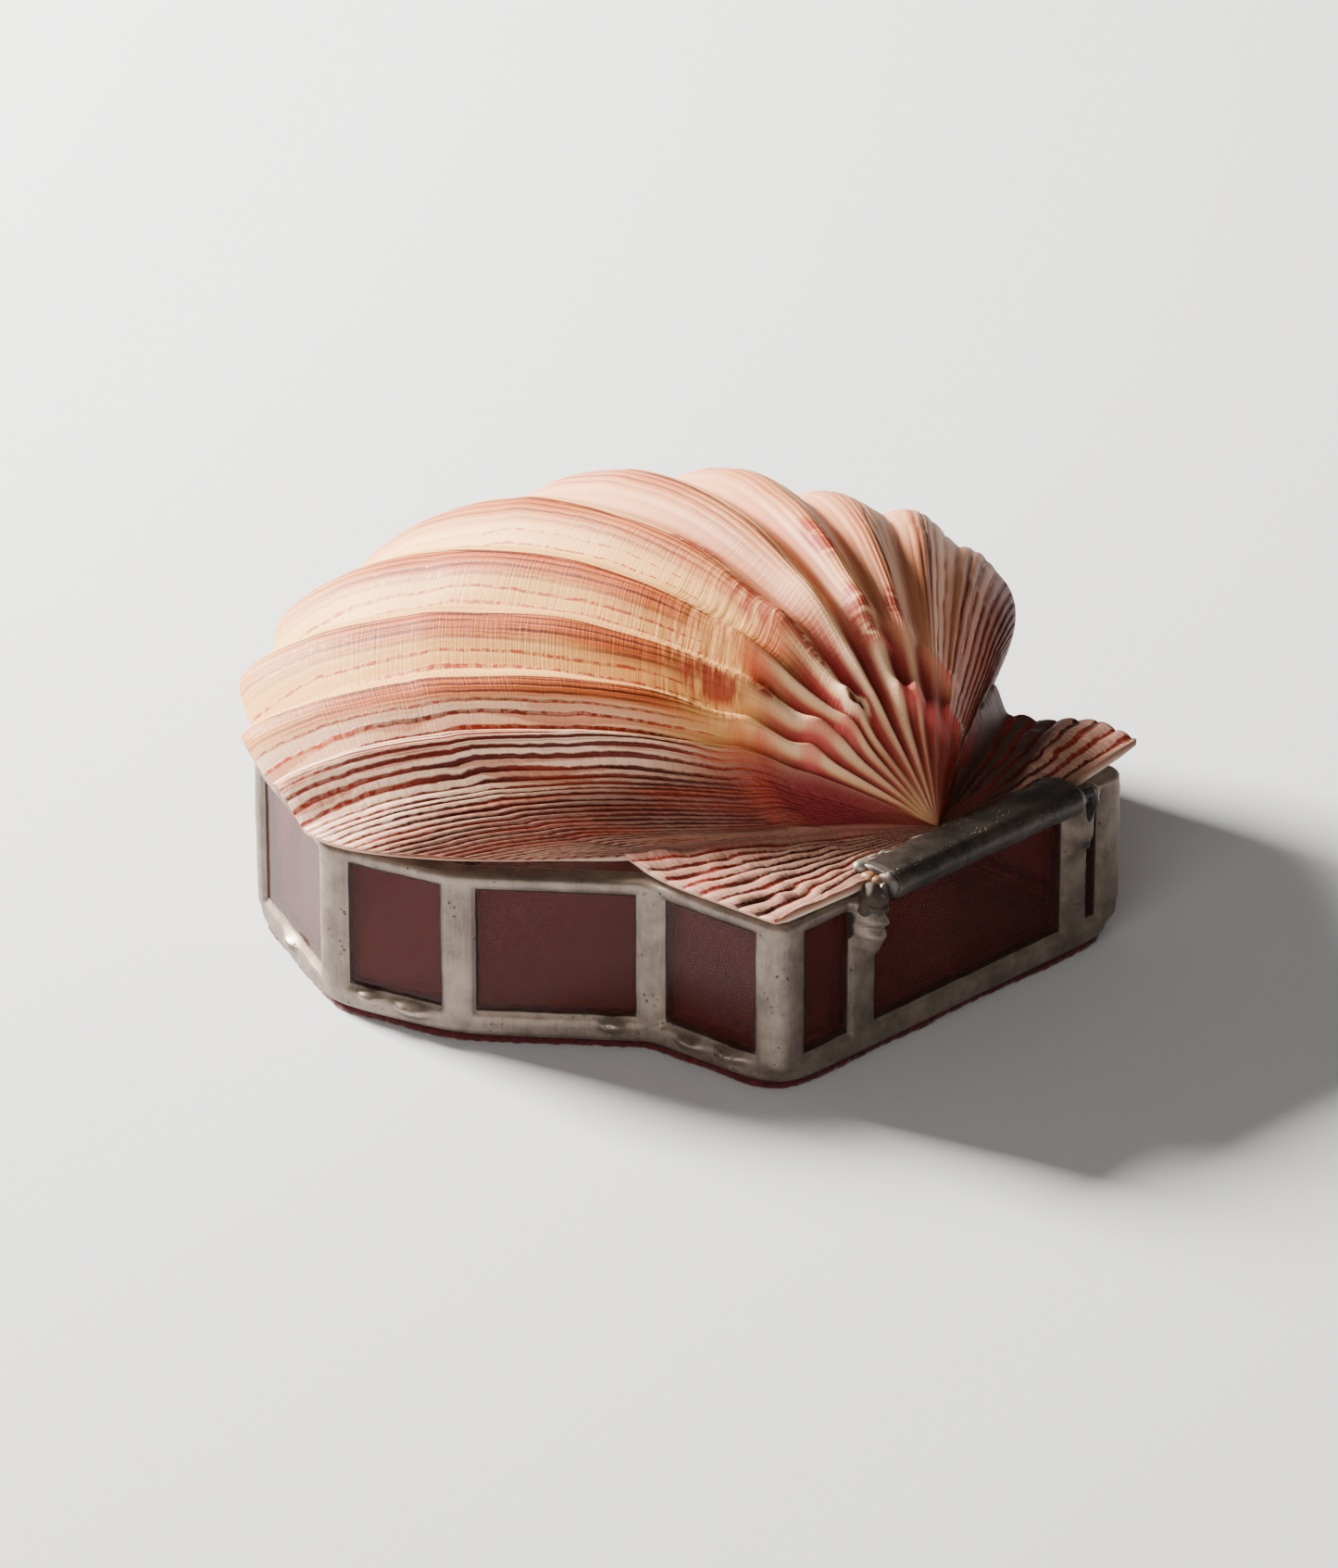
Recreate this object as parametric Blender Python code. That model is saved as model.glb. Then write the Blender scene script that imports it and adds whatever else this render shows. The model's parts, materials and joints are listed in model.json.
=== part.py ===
"""A stained-glass trinket box whose lid is a scallop shell.

Plum glass panes stand round a glass floor, joined by thick solder seams that form one cage.
The box's plan follows the shell's outline: a straight hinge wall, an ear and a notch on each
side, and a round front. The shell's straight hinge edge is clasped by a tinned sleeve, which
turns on a wire soldered to two posts of the hinge wall.

Metres, +Z up. The origin is on the underside, midway between the hinge wall and the front.
The hinge wall faces +Y and the box opens at -Y. The side at +X is called near, and the side
at -X far. Like most scallops' the shell is a little lopsided: its far ear has a deeper notch.
"""
import math
from collections import namedtuple

import bmesh
import bpy
import numpy as np

MM = 0.001
DEG = math.pi / 180

# Gap between pieces that touch in the real box
GAP = 0.3 * MM

# The shell's outline from above
LID_WIDTH = 118.4 * MM
LID_LENGTH = 112.0 * MM
WIDEST_FROM_HINGE = 60.0 * MM
HINGE_EDGE_WIDTH = 69.0 * MM
DISC_SHIFT = 0.6 * MM
FRONT_FULLNESS = 1.87
NEAR_NOTCH = 35.3 * MM
FAR_NOTCH = 30.5 * MM
NEAR_EAR_LENGTH = 27.0 * MM
FAR_EAR_LENGTH = 22.5 * MM
NEAR_EAR_BOW = 1.4 * MM
FAR_EAR_BOW = 2.5 * MM
FAR_FLANK_BULGE = 5.0 * MM

# The shell's dome above its edge: it leans a little to the far side
DOME_HEIGHT = 24.5 * MM
DOME_TOP_ANGLE = -7.6 * DEG
NEAR_TOP_PLACE = 0.47
FAR_TOP_PLACE = 0.40
NEAR_SPREAD = 65.0 * DEG
FAR_SPREAD = 55.0 * DEG
NEAR_ROUNDNESS = 1.87
FAR_ROUNDNESS = 2.5
BACK_STEEPNESS = 1.08
FRONT_STEEPNESS = 0.80
UMBO_FROM_EDGE = 3.8 * MM

# The shell's wall, edge and ears
SHELL_WALL = 2.4 * MM
SHELL_EDGE = 0.9 * MM
EAR_THICKNESS = 1.7 * MM
EDGE_INSET = 1.3 * MM
NEAR_FLANK_LIFT = 1.5 * MM
NEAR_LIFT_PLACE = 0.95
NEAR_LIFT_BREADTH = 0.1
FAR_FLANK_LIFT = 5.0 * MM
FAR_LIFT_START = 0.57
FAR_LIFT_FULL = 0.78
FAR_LIFT_END = 1.06
NEAR_EAR_CURL = 0.4 * MM
FAR_EAR_CURL = 2.2 * MM
EAR_BLEND = 0.06
EDGE_BAND = 0.2

# Ribs, knobs and the ledge where growth once paused
NEAR_RIBS_END = 4.6
FAR_RIBS_END = 5.6
NEAR_RIB_FADE = 0.6
FAR_RIB_FADE = 3.8
NEAR_FAN = 52.0 * DEG
FAR_FAN = 57.0 * DEG
RIB_STEP = 12.9 * DEG
RIB_HEIGHT = 4.4 * MM
RIB_GROWTH = 1.15
KNOB_RIBS = (-4, -2, 0, 2)
KNOB_PLACE = 0.165
KNOB_RADIUS = 2.6 * MM
KNOB_HEIGHT = 2.2 * MM
LEDGE_PLACE = 0.27
LEDGE_BREADTH = 0.04
LEDGE_HEIGHT = 0.8 * MM

# The box's glass and solder
RIM_HEIGHT = 25.0 * MM
LID_OVERHANG = 1.2 * MM
FRONT_OVERHANG = 1.9 * MM
GLASS_THICKNESS = 2.2 * MM
SEAM_LIP = 0.6 * MM
SEAM_WEB = 0.9 * MM
GLASS_SEATING = 0.9 * MM
BOTTOM_BAND = 3.5 * MM
TOP_BAND = 1.9 * MM
SEAM_ROUNDING = 0.9 * MM
POST_ROUNDING = 1.5 * MM
NEAR_NOTCH_POST = 21.6 * MM
FAR_NOTCH_POST = 25.0 * MM
NEAR_SHOULDER_OUT = 1.2 * MM
FAR_SHOULDER_OUT = -2.4 * MM
FRONT_POST_ANGLE = 30.0 * DEG
MIDDLE_POST_ANGLE = 11.2 * DEG
HINGE_POST_WEB = 3.0 * MM
NEAR_POST_X = 17.6 * MM
FAR_POST_X = -23.3 * MM
BASE_LEDGE = 2.0 * MM
FELT_THICKNESS = 1.0 * MM
FELT_PROUD = 0.4 * MM

# The hinge
ROD_RADIUS = 0.8 * MM
ROD_CLEARANCE = 0.3 * MM
ROD_LEG = 9.0 * MM
SLEEVE_WALL = 1.2 * MM
SLEEVE_GRIP = 3.2 * MM
SLEEVE_HOOD = 1.1 * MM
SLEEVE_NEAR_PLAY = 0.4 * MM
SLEEVE_FAR_PLAY = 2.6 * MM
AXIS_ABOVE_RIM = 1.5 * MM

# Fineness of the round forms
COLUMNS_PER_RIB = 6
EAR_COLUMNS = 5
NEAR_FLANK_COLUMNS = 7
FAR_FLANK_COLUMNS = 13
HINGE_COLUMNS = 10
ROWS = 18
ROW_CROWDING = 1.2
SLEEVE_STEPS = 14
ROD_BEND_STEPS = 4

# Sizes that follow from the ones above
HALF_HINGE = HINGE_EDGE_WIDTH / 2
FRONT_DEPTH = LID_LENGTH - WIDEST_FROM_HINGE
UMBO = np.array([0.0, -UMBO_FROM_EDGE])
GROOVE = GLASS_THICKNESS + 2 * GAP
FRAME_WALL = GROOVE + 2 * SEAM_LIP
FRAME_BOTTOM = FELT_THICKNESS + GAP
LID_BOTTOM = RIM_HEIGHT + GAP
SLEEVE_RADIUS = ROD_RADIUS + ROD_CLEARANCE + SLEEVE_WALL
SLEEVE_FAR_X = FAR_POST_X + ROD_RADIUS + SLEEVE_FAR_PLAY
SLEEVE_NEAR_X = NEAR_POST_X - ROD_RADIUS - SLEEVE_NEAR_PLAY
SLEEVE_REACH = max(-SLEEVE_FAR_X, SLEEVE_NEAR_X) + GAP

# What differs between the near and the far side of the shell
Side = namedtuple("Side", "sign notch ear bow curl wide bulge fan ribs_end rib_fade top spread roundness")
NEAR = Side(
    1, NEAR_NOTCH, NEAR_EAR_LENGTH, NEAR_EAR_BOW, NEAR_EAR_CURL,
    LID_WIDTH / 2 - DISC_SHIFT, 0.0, NEAR_FAN, NEAR_RIBS_END, NEAR_RIB_FADE,
    NEAR_TOP_PLACE, NEAR_SPREAD, NEAR_ROUNDNESS,
)
FAR = Side(
    -1, FAR_NOTCH, FAR_EAR_LENGTH, FAR_EAR_BOW, FAR_EAR_CURL,
    LID_WIDTH / 2 + DISC_SHIFT, FAR_FLANK_BULGE, FAR_FAN, FAR_RIBS_END, FAR_RIB_FADE,
    FAR_TOP_PLACE, FAR_SPREAD, FAR_ROUNDNESS,
)


def clear_scene():
    """Remove every object."""
    for thing in list(bpy.data.objects):
        bpy.data.objects.remove(thing, do_unlink=True)


def finish(name, colour, roughness, metallic=0.0, transmission=0.0):
    """A Principled material in one colour."""
    material = bpy.data.materials.new(name)
    material.use_nodes = True
    shader = material.node_tree.nodes["Principled BSDF"]
    shader.inputs["Base Color"].default_value = (*colour, 1.0)
    shader.inputs["Roughness"].default_value = roughness
    shader.inputs["Metallic"].default_value = metallic
    shader.inputs["Transmission Weight"].default_value = transmission
    return material


def add_piece(name, points, faces, material, pivot=None):
    """One closed body in its own object, its faces turned outwards.

    Points are in the model's frame. A piece that turns with a pivot gets its origin there.
    """
    origin = np.zeros(3) if pivot is None else np.array(pivot.location)
    mesh = bpy.data.meshes.new(name)
    mesh.from_pydata([tuple(p) for p in np.asarray(points) - origin], [], faces)
    form = bmesh.new()
    form.from_mesh(mesh)
    bmesh.ops.recalc_face_normals(form, faces=form.faces)
    form.to_mesh(mesh)
    form.free()
    mesh.shade_smooth()
    mesh.set_sharp_from_angle(angle=40 * DEG)
    mesh.materials.append(material)
    piece = bpy.data.objects.new(name, mesh)
    piece.parent = pivot
    bpy.context.collection.objects.link(piece)
    return piece


def bezier(controls, shares):
    """Points on a Bezier curve of any degree, at shares from 0 to 1 along it."""
    controls = np.array(controls, dtype=float)
    degree = len(controls) - 1
    shares = np.asarray(shares)[:, None]
    weights = [math.comb(degree, i) * shares**i * (1 - shares) ** (degree - i) for i in range(degree + 1)]
    return sum(weight * control for weight, control in zip(weights, controls))


def inset_loop(loop, distance):
    """A closed plan loop, given clockwise from above, moved inwards with mitred corners."""
    back = loop - np.roll(loop, 1, axis=0)
    ahead = np.roll(loop, -1, axis=0) - loop
    back = back / np.linalg.norm(back, axis=1)[:, None]
    ahead = ahead / np.linalg.norm(ahead, axis=1)[:, None]
    in_back = np.stack([back[:, 1], -back[:, 0]], axis=1)
    in_ahead = np.stack([ahead[:, 1], -ahead[:, 0]], axis=1)
    mitre = (in_back + in_ahead) / (1 + (in_back * in_ahead).sum(axis=1))[:, None]
    return loop + mitre * np.broadcast_to(distance, len(loop))[:, None]


# Plan of the shell. These points are measured from the middle of the hinge edge.

def ear_side(side, shares):
    """An ear's side, from the hinge edge's corner to the notch, bowed a little outwards."""
    bow = (max(HALF_HINGE, side.notch) + side.bow, -0.55 * side.ear)
    return bezier([(HALF_HINGE, 0), bow, (side.notch, -side.ear)], shares)


def flank(side, shares):
    """A side of the disc, from the notch out to the widest place."""
    reach = WIDEST_FROM_HINGE - side.ear
    shoulder = (0.5 * (side.notch + side.wide), -side.ear - 0.25 * reach)
    run = (side.wide, -WIDEST_FROM_HINGE + 0.4 * reach + side.bulge)
    return bezier([(side.notch, -side.ear), shoulder, run, (side.wide, -WIDEST_FROM_HINGE)], shares)


def front_at(side, angles):
    """The round front, a quarter of a superellipse, where rays from the umbo meet it."""
    turn = np.linspace(0, math.pi / 2, 400)
    x = side.wide * np.cos(turn).clip(0) ** (2 / FRONT_FULLNESS) - UMBO[0]
    y = -WIDEST_FROM_HINGE - FRONT_DEPTH * np.sin(turn) ** (2 / FRONT_FULLNESS) - UMBO[1]
    seen = np.arctan2(x, -y)[::-1]
    reach = np.interp(np.abs(angles), seen, np.hypot(x, y)[::-1])
    return UMBO + reach[:, None] * np.stack([np.sin(angles), -np.cos(angles)], axis=1)


def rib_number(angles):
    """Which rib an angle lies on, as a number from the middle: ribs crowd towards the flanks."""
    fan = np.where(angles > 0, NEAR.fan, FAR.fan)
    return np.arcsin(np.clip(angles / fan, -1, 1)) / RIB_STEP


def rib_angle(numbers):
    """The angle of a rib from its number."""
    fan = np.where(numbers > 0, NEAR.fan, FAR.fan)
    return fan * np.sin(numbers * RIB_STEP)


def side_outline(side, flank_columns):
    """Half of the shell's outline, from the hinge edge's corner to just short of the middle rib."""
    widest_angle = math.atan2(side.wide, WIDEST_FROM_HINGE - UMBO_FROM_EDGE)
    last_number = abs(float(rib_number(side.sign * widest_angle)))
    numbers = np.linspace(last_number, 0, round(last_number * COLUMNS_PER_RIB) + 1)[:-1]
    front = front_at(side, np.abs(rib_angle(side.sign * numbers)))
    ear = ear_side(side, np.linspace(0, 1, EAR_COLUMNS + 1))
    across = flank(side, np.linspace(0, 1, flank_columns + 1)[1:-1] ** 0.7)
    return np.concatenate([ear, across, front]) * np.array([side.sign, 1])


def lid_outline():
    """The shell's outline, once round clockwise: near side, front, far side, hinge edge."""
    near = side_outline(NEAR, NEAR_FLANK_COLUMNS)
    far = side_outline(FAR, FAR_FLANK_COLUMNS)
    middle = front_at(NEAR, np.array([0.0]))
    hinge_x = np.linspace(-HALF_HINGE, HALF_HINGE, HINGE_COLUMNS + 1)[1:-1]
    hinge = np.stack([hinge_x, np.zeros_like(hinge_x)], axis=1)
    return np.concatenate([near, middle, far[::-1], hinge])


# The shell

def dome(angles, out):
    """The dome's height: an arc along each ray, from 0 at the umbo to its top and 0 at the edge.

    A ray has the whole arc at the top angle, and none where it leaves the dome's spread.
    """
    height = 0.0
    for side in (NEAR, FAR):
        off = np.clip(side.sign * (angles - DOME_TOP_ANGLE) / side.spread, 0, 1)
        top = NEAR.top + (side.top - NEAR.top) * off
        back = (1 - ((top - out) / top) ** 2).clip(0) ** BACK_STEEPNESS
        ahead = (1 - ((out - top) / (1 - top)) ** 2).clip(0) ** FRONT_STEEPNESS
        mine = (angles - DOME_TOP_ANGLE) * side.sign > 0
        height = height + mine * (1 - off**side.roundness) * np.where(out < top, back, ahead)
    return DOME_HEIGHT * height


def rib_wave(angles):
    """The ribs across the shell: 1 on a crest, 0 in a furrow, fading out on the flanks."""
    number = rib_number(angles)
    end = np.where(angles > 0, NEAR.ribs_end, FAR.ribs_end)
    over = np.where(angles > 0, NEAR.rib_fade, FAR.rib_fade)
    fade = np.clip((end - np.abs(number)) / over, 0, 1)
    return (0.5 + 0.5 * np.cos(2 * math.pi * number)) * fade


def knobs(x, y):
    """Rounded knobs on every second rib, in a ring round the umbo."""
    height = np.zeros_like(x)
    for number in KNOB_RIBS:
        angle = rib_angle(np.array([float(number)]))
        place = UMBO + KNOB_PLACE * (front_at(NEAR, angle)[0] - UMBO)
        from_knob = np.hypot(x - place[0], y - place[1])
        height += KNOB_HEIGHT * np.exp(-((from_knob / KNOB_RADIUS) ** 2))
    return height


def ear_curl(x, y):
    """How far the ears' hinge corners curl up, starting beyond the sleeve's ends."""
    sideways = np.clip((np.abs(x) - SLEEVE_REACH) / (HALF_HINGE - SLEEVE_REACH), 0, 1)
    near = NEAR.curl * np.clip(2 + 3 * y / NEAR.ear, 0, 1)
    far = FAR.curl * np.clip(2 + 3 * y / FAR.ear, 0, 1)
    return np.where(x > 0, near, far) * sideways


def smooth_step(value, low, high):
    """0 below low, 1 above high, and a smooth rise between."""
    share = np.clip((value - low) / (high - low), 0, 1)
    return share * share * (3 - 2 * share)


def flank_lift(shares, out):
    """How far the flanks' edges stand off the rim. A share is an angle over its notch's angle."""
    from_place = (shares - NEAR_LIFT_PLACE) / NEAR_LIFT_BREADTH
    near = NEAR_FLANK_LIFT * np.exp(-(from_place**2)) * out**3
    far = smooth_step(-shares, FAR_LIFT_START, FAR_LIFT_FULL) * (1 - smooth_step(-shares, 1, FAR_LIFT_END))
    return near + FAR_FLANK_LIFT * far * out**2.5


def shell_skins():
    """The shell's outer and inner skins, each a grid of rows from the umbo out to the edge.

    A point's height is the edge's level, plus the dome's arc along its ray, plus ribs that grow
    with distance from the umbo, plus the ledge and the knobs. The inner skin lies a wall below.
    """
    loop = lid_outline()
    arms = loop - UMBO
    angles = np.arctan2(arms[:, 0], -arms[:, 1])
    notch_angles = [math.atan2(side.notch, side.ear - UMBO_FROM_EDGE) for side in (NEAR, FAR)]
    shares = angles / np.where(angles > 0, *notch_angles)
    out = ((np.arange(1, ROWS + 1) / ROWS) ** ROW_CROWDING)[:, None]
    x = UMBO[0] + out * arms[:, 0]
    y = UMBO[1] + out * arms[:, 1]
    on_disc = np.clip(0.5 + (1 - np.abs(shares)) / (2 * EAR_BLEND), 0, 1)
    raised = ear_curl(x, y) + flank_lift(shares, out)
    thick = EAR_THICKNESS + (SHELL_EDGE - EAR_THICKNESS) * on_disc * out**2

    outer = LID_BOTTOM + thick + raised + dome(angles, out)
    outer = outer + RIB_HEIGHT * rib_wave(angles) * out**RIB_GROWTH
    outer = outer + LEDGE_HEIGHT * on_disc * np.exp(-(((out - LEDGE_PLACE) / LEDGE_BREADTH) ** 2))
    outer = outer + knobs(x, y)

    near_edge = np.clip(1 + (out - 1) / EDGE_BAND, 0, 1)
    wall = SHELL_WALL + (SHELL_EDGE - SHELL_WALL) * near_edge
    inner = np.maximum(outer - wall, LID_BOTTOM + raised)
    inset = inset_loop(loop, EDGE_INSET * on_disc) - UMBO
    inner_x = UMBO[0] + out * inset[:, 0]
    inner_y = UMBO[1] + out * inset[:, 1]
    return np.stack([x, y + HINGE_Y, outer], axis=2), np.stack([inner_x, inner_y + HINGE_Y, inner], axis=2)


def shell_lid(material, pivot):
    """The shell: two skins that meet in a narrow face all round the edge."""
    outer, inner = shell_skins()
    rows, columns = outer.shape[:2]
    skin = rows * columns
    low_umbo = np.array([UMBO[0], UMBO[1] + HINGE_Y, LID_BOTTOM])
    high_umbo = low_umbo + np.array([0, 0, EAR_THICKNESS])
    points = np.concatenate([outer.reshape(-1, 3), inner.reshape(-1, 3), [high_umbo, low_umbo]])
    edge = skin - columns
    faces = []
    for here in range(columns):
        after = (here + 1) % columns
        faces.append((2 * skin, here, after))
        faces.append((2 * skin + 1, skin + after, skin + here))
        faces.append((edge + here, skin + edge + here, skin + edge + after, edge + after))
        for row in range(0, edge, columns):
            a, b = row + here, row + after
            faces.append((a, a + columns, b + columns, b))
            faces.append((skin + a, skin + b, skin + b + columns, skin + a + columns))
    return add_piece("shell_lid", points, faces, material, pivot)


# The box's plan, clockwise from above

def side_plan(side, notch_post, shoulder_out):
    """The box's corners on one side, from the hinge wall to the front, just inside the shell."""
    hinge_corner = np.array([[HALF_HINGE - LID_OVERHANG, 0.0]])
    notch = np.array([[side.notch + 0.5 * LID_OVERHANG, -notch_post]])
    shoulder = flank(side, [0.52]) + np.array([0.5, 0.9]) * shoulder_out
    widest = np.array([[side.wide - 0.2 * LID_OVERHANG, -WIDEST_FROM_HINGE]])
    front = front_at(side, np.array([FRONT_POST_ANGLE, MIDDLE_POST_ANGLE]))
    front = front - FRONT_OVERHANG * (front - UMBO) / np.linalg.norm(front - UMBO, axis=1)[:, None]
    return np.concatenate([hinge_corner, notch, shoulder, widest, front]) * np.array([side.sign, 1])


def box_plan():
    """The corners of the box's outer face, clockwise from the hinge wall's near corner."""
    near = side_plan(NEAR, NEAR_NOTCH_POST, NEAR_SHOULDER_OUT)
    far = side_plan(FAR, FAR_NOTCH_POST, FAR_SHOULDER_OUT)
    return np.concatenate([near, far[::-1]])


HINGE_PLAN = box_plan()
HINGE_Y = -HINGE_PLAN[:, 1].min() / 2
BOX_PLAN = HINGE_PLAN + np.array([0.0, HINGE_Y])
AXIS_Y = HINGE_Y + SLEEVE_RADIUS + GAP
AXIS_Z = RIM_HEIGHT + AXIS_ABOVE_RIM


def rounded_loop(loop, radius):
    """A plan loop with each corner replaced by a short curve of three points."""
    curves = []
    for i, corner in enumerate(loop):
        before = loop[i - 1] - corner
        after = loop[(i + 1) % len(loop)] - corner
        start = corner + radius * before / np.linalg.norm(before)
        end = corner + radius * after / np.linalg.norm(after)
        curves.append(bezier([start, corner, end], [0, 0.5, 1]))
    return np.concatenate(curves)


def stacked_rings(name, rings, material, closed=False):
    """A body through plan loops at given heights: a closed tube of rings, or capped at both ends."""
    count = len(rings[0][0])
    points = [(x, y, height) for loop, height in rings for x, y in loop]
    faces = []
    for level in range(len(rings) if closed else len(rings) - 1):
        low = level * count
        high = (level + 1) % len(rings) * count
        faces += [(low + i, low + (i + 1) % count, high + (i + 1) % count, high + i) for i in range(count)]
    if not closed:
        faces += [tuple(range(count)), tuple(range(len(points) - 1, len(points) - count - 1, -1))]
    return add_piece(name, points, faces, material)


def wall_bays():
    """Every pane's bay: its name, its corner on the outer face, its two unit vectors and its ends.

    The ends are places along the wall where the pane's groove starts and stops. At a corner the
    groove stops short of its neighbour's by the mitre of its inner face and a web of solder.
    """
    count = len(BOX_PLAN)
    ahead = np.roll(BOX_PLAN, -1, axis=0) - BOX_PLAN
    lengths = np.linalg.norm(ahead, axis=1)
    ahead = ahead / lengths[:, None]
    before = np.roll(ahead, 1, axis=0)
    turn = np.arctan2(before[:, 1] * ahead[:, 0] - before[:, 0] * ahead[:, 1], (before * ahead).sum(axis=1))
    setback = np.maximum((SEAM_LIP + GROOVE) * np.tan(turn / 2), 0) + SEAM_WEB
    sides = count // 2 - 2
    names = [f"glass_near_{k + 1}" for k in range(sides)]
    names += ["glass_front_near", "glass_front_middle", "glass_front_far"]
    names += [f"glass_far_{k + 1}" for k in reversed(range(sides))]
    bays = []
    for i, name in enumerate(names):
        inwards = np.array([ahead[i, 1], -ahead[i, 0]])
        bays.append((name, BOX_PLAN[i], ahead[i], inwards, setback[i], lengths[i] - setback[(i + 1) % count]))
    corner, along = BOX_PLAN[-1], ahead[-1]
    inwards = np.array([along[1], -along[0]])
    far_post = FAR_POST_X - corner[0]
    near_post = NEAR_POST_X - corner[0]
    half_web = HINGE_POST_WEB / 2
    bays.append(("glass_hinge_far", corner, along, inwards, setback[-1], far_post - half_web))
    bays.append(("glass_hinge_middle", corner, along, inwards, far_post + half_web, near_post - half_web))
    bays.append(("glass_hinge_near", corner, along, inwards, near_post + half_web, lengths[-1] - setback[0]))
    return bays


def bay_block(bay, shrink, depths, heights):
    """The eight corners of a block in a bay: shortened at both ends, between depths and heights."""
    corner, along, inwards, start, stop = bay[1:]
    points = []
    for height in heights:
        for depth in depths:
            for place in (start + shrink, stop - shrink):
                x, y = corner + along * place + inwards * depth
                points.append((x, y, height))
    return points


BLOCK_FACES = [(0, 2, 3, 1), (4, 5, 7, 6), (0, 1, 5, 4), (2, 6, 7, 3), (0, 4, 6, 2), (1, 3, 7, 5)]


def cutter(name, blocks):
    """Many separate blocks in one hidden object."""
    points = [point for block in blocks for point in block]
    faces = [tuple(8 * i + corner for corner in face) for i in range(len(blocks)) for face in BLOCK_FACES]
    body = add_piece(name, points, faces, finish(name, (0.5, 0.5, 0.5), 0.5))
    body.hide_render = True
    body.display_type = "WIRE"
    return body


def solder_frame(material, bays):
    """The cage of seams: a softened wall round the plan, with windows and grooves for the panes."""
    outer = rounded_loop(BOX_PLAN, POST_ROUNDING)
    eased = rounded_loop(inset_loop(BOX_PLAN, SEAM_ROUNDING), POST_ROUNDING)
    inner = rounded_loop(inset_loop(BOX_PLAN, FRAME_WALL), SEAM_ROUNDING)
    ledge = rounded_loop(inset_loop(BOX_PLAN, FRAME_WALL + BASE_LEDGE), SEAM_ROUNDING)
    rings = [
        (ledge, FRAME_BOTTOM),
        (eased, FRAME_BOTTOM),
        (outer, FRAME_BOTTOM + SEAM_ROUNDING),
        (outer, RIM_HEIGHT - 0.6 * SEAM_ROUNDING),
        (eased, RIM_HEIGHT),
        (inner, RIM_HEIGHT),
        (inner, FRAME_BOTTOM + SEAM_ROUNDING),
        (ledge, FRAME_BOTTOM + SEAM_ROUNDING),
    ]
    frame = stacked_rings("solder_frame", rings, material, closed=True)
    window = (FRAME_BOTTOM + BOTTOM_BAND, RIM_HEIGHT - TOP_BAND)
    groove = (window[0] - GLASS_SEATING, window[1] + GLASS_SEATING)
    through = (-SEAM_LIP, FRAME_WALL + 0.5 * SEAM_LIP)
    slot = (SEAM_LIP, SEAM_LIP + GROOVE)
    windows = cutter("window_cutter", [bay_block(bay, GLASS_SEATING, through, window) for bay in bays])
    grooves = cutter("groove_cutter", [bay_block(bay, 0, slot, groove) for bay in bays])
    for body in (windows, grooves):
        cut = frame.modifiers.new(body.name, "BOOLEAN")
        cut.operation = "DIFFERENCE"
        cut.solver = "EXACT"
        cut.object = body
    return frame


def panes(material, bays):
    """A pane in every bay, clear of its groove all round."""
    heights = (FRAME_BOTTOM + BOTTOM_BAND - GLASS_SEATING + GAP, RIM_HEIGHT - TOP_BAND + GLASS_SEATING - GAP)
    depths = (SEAM_LIP + GAP, SEAM_LIP + GAP + GLASS_THICKNESS)
    for bay in bays:
        add_piece(bay[0], bay_block(bay, GAP, depths, heights), BLOCK_FACES, material)


def floor_pieces(glass, felt):
    """The glass floor on the cage's ledge, and the felt under the cage."""
    low = FRAME_BOTTOM + SEAM_ROUNDING + GAP
    floor = rounded_loop(inset_loop(BOX_PLAN, FRAME_WALL + GAP), SEAM_ROUNDING)
    stacked_rings("base_glass", [(floor, low), (floor, low + GLASS_THICKNESS)], glass)
    pad = rounded_loop(inset_loop(BOX_PLAN, -FELT_PROUD), POST_ROUNDING)
    stacked_rings("felt_base", [(pad, 0.0), (pad, FELT_THICKNESS)], felt)


# The hinge

def hinge_rod(material):
    """The wire: along the hinge axis, with both ends bent down and in against their posts."""
    against_post = HINGE_Y + GAP + ROD_RADIUS
    bend = 2 * ROD_RADIUS
    path = []
    for post, inwards in ((FAR_POST_X, 1), (NEAR_POST_X, -1)):
        foot = (post, against_post, AXIS_Z - ROD_LEG)
        knee = (post, against_post, AXIS_Z - 0.6 * ROD_LEG)
        neck = (post, AXIS_Y, AXIS_Z - bend)
        turned = bezier([neck, (post, AXIS_Y, AXIS_Z), (post + inwards * bend, AXIS_Y, AXIS_Z)],
                        np.linspace(0, 1, ROD_BEND_STEPS))
        leg = [foot, knee, *[tuple(p) for p in turned]]
        path += leg if inwards > 0 else leg[::-1]
    curve = bpy.data.curves.new("hinge_rod", "CURVE")
    curve.dimensions = "3D"
    curve.bevel_depth = ROD_RADIUS
    curve.bevel_resolution = 3
    curve.use_fill_caps = True
    line = curve.splines.new("POLY")
    line.points.add(len(path) - 1)
    for point, place in zip(line.points, path):
        point.co = (*place, 1.0)
    curve.materials.append(material)
    rod = bpy.data.objects.new("hinge_rod", curve)
    bpy.context.collection.objects.link(rod)
    return rod


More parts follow.
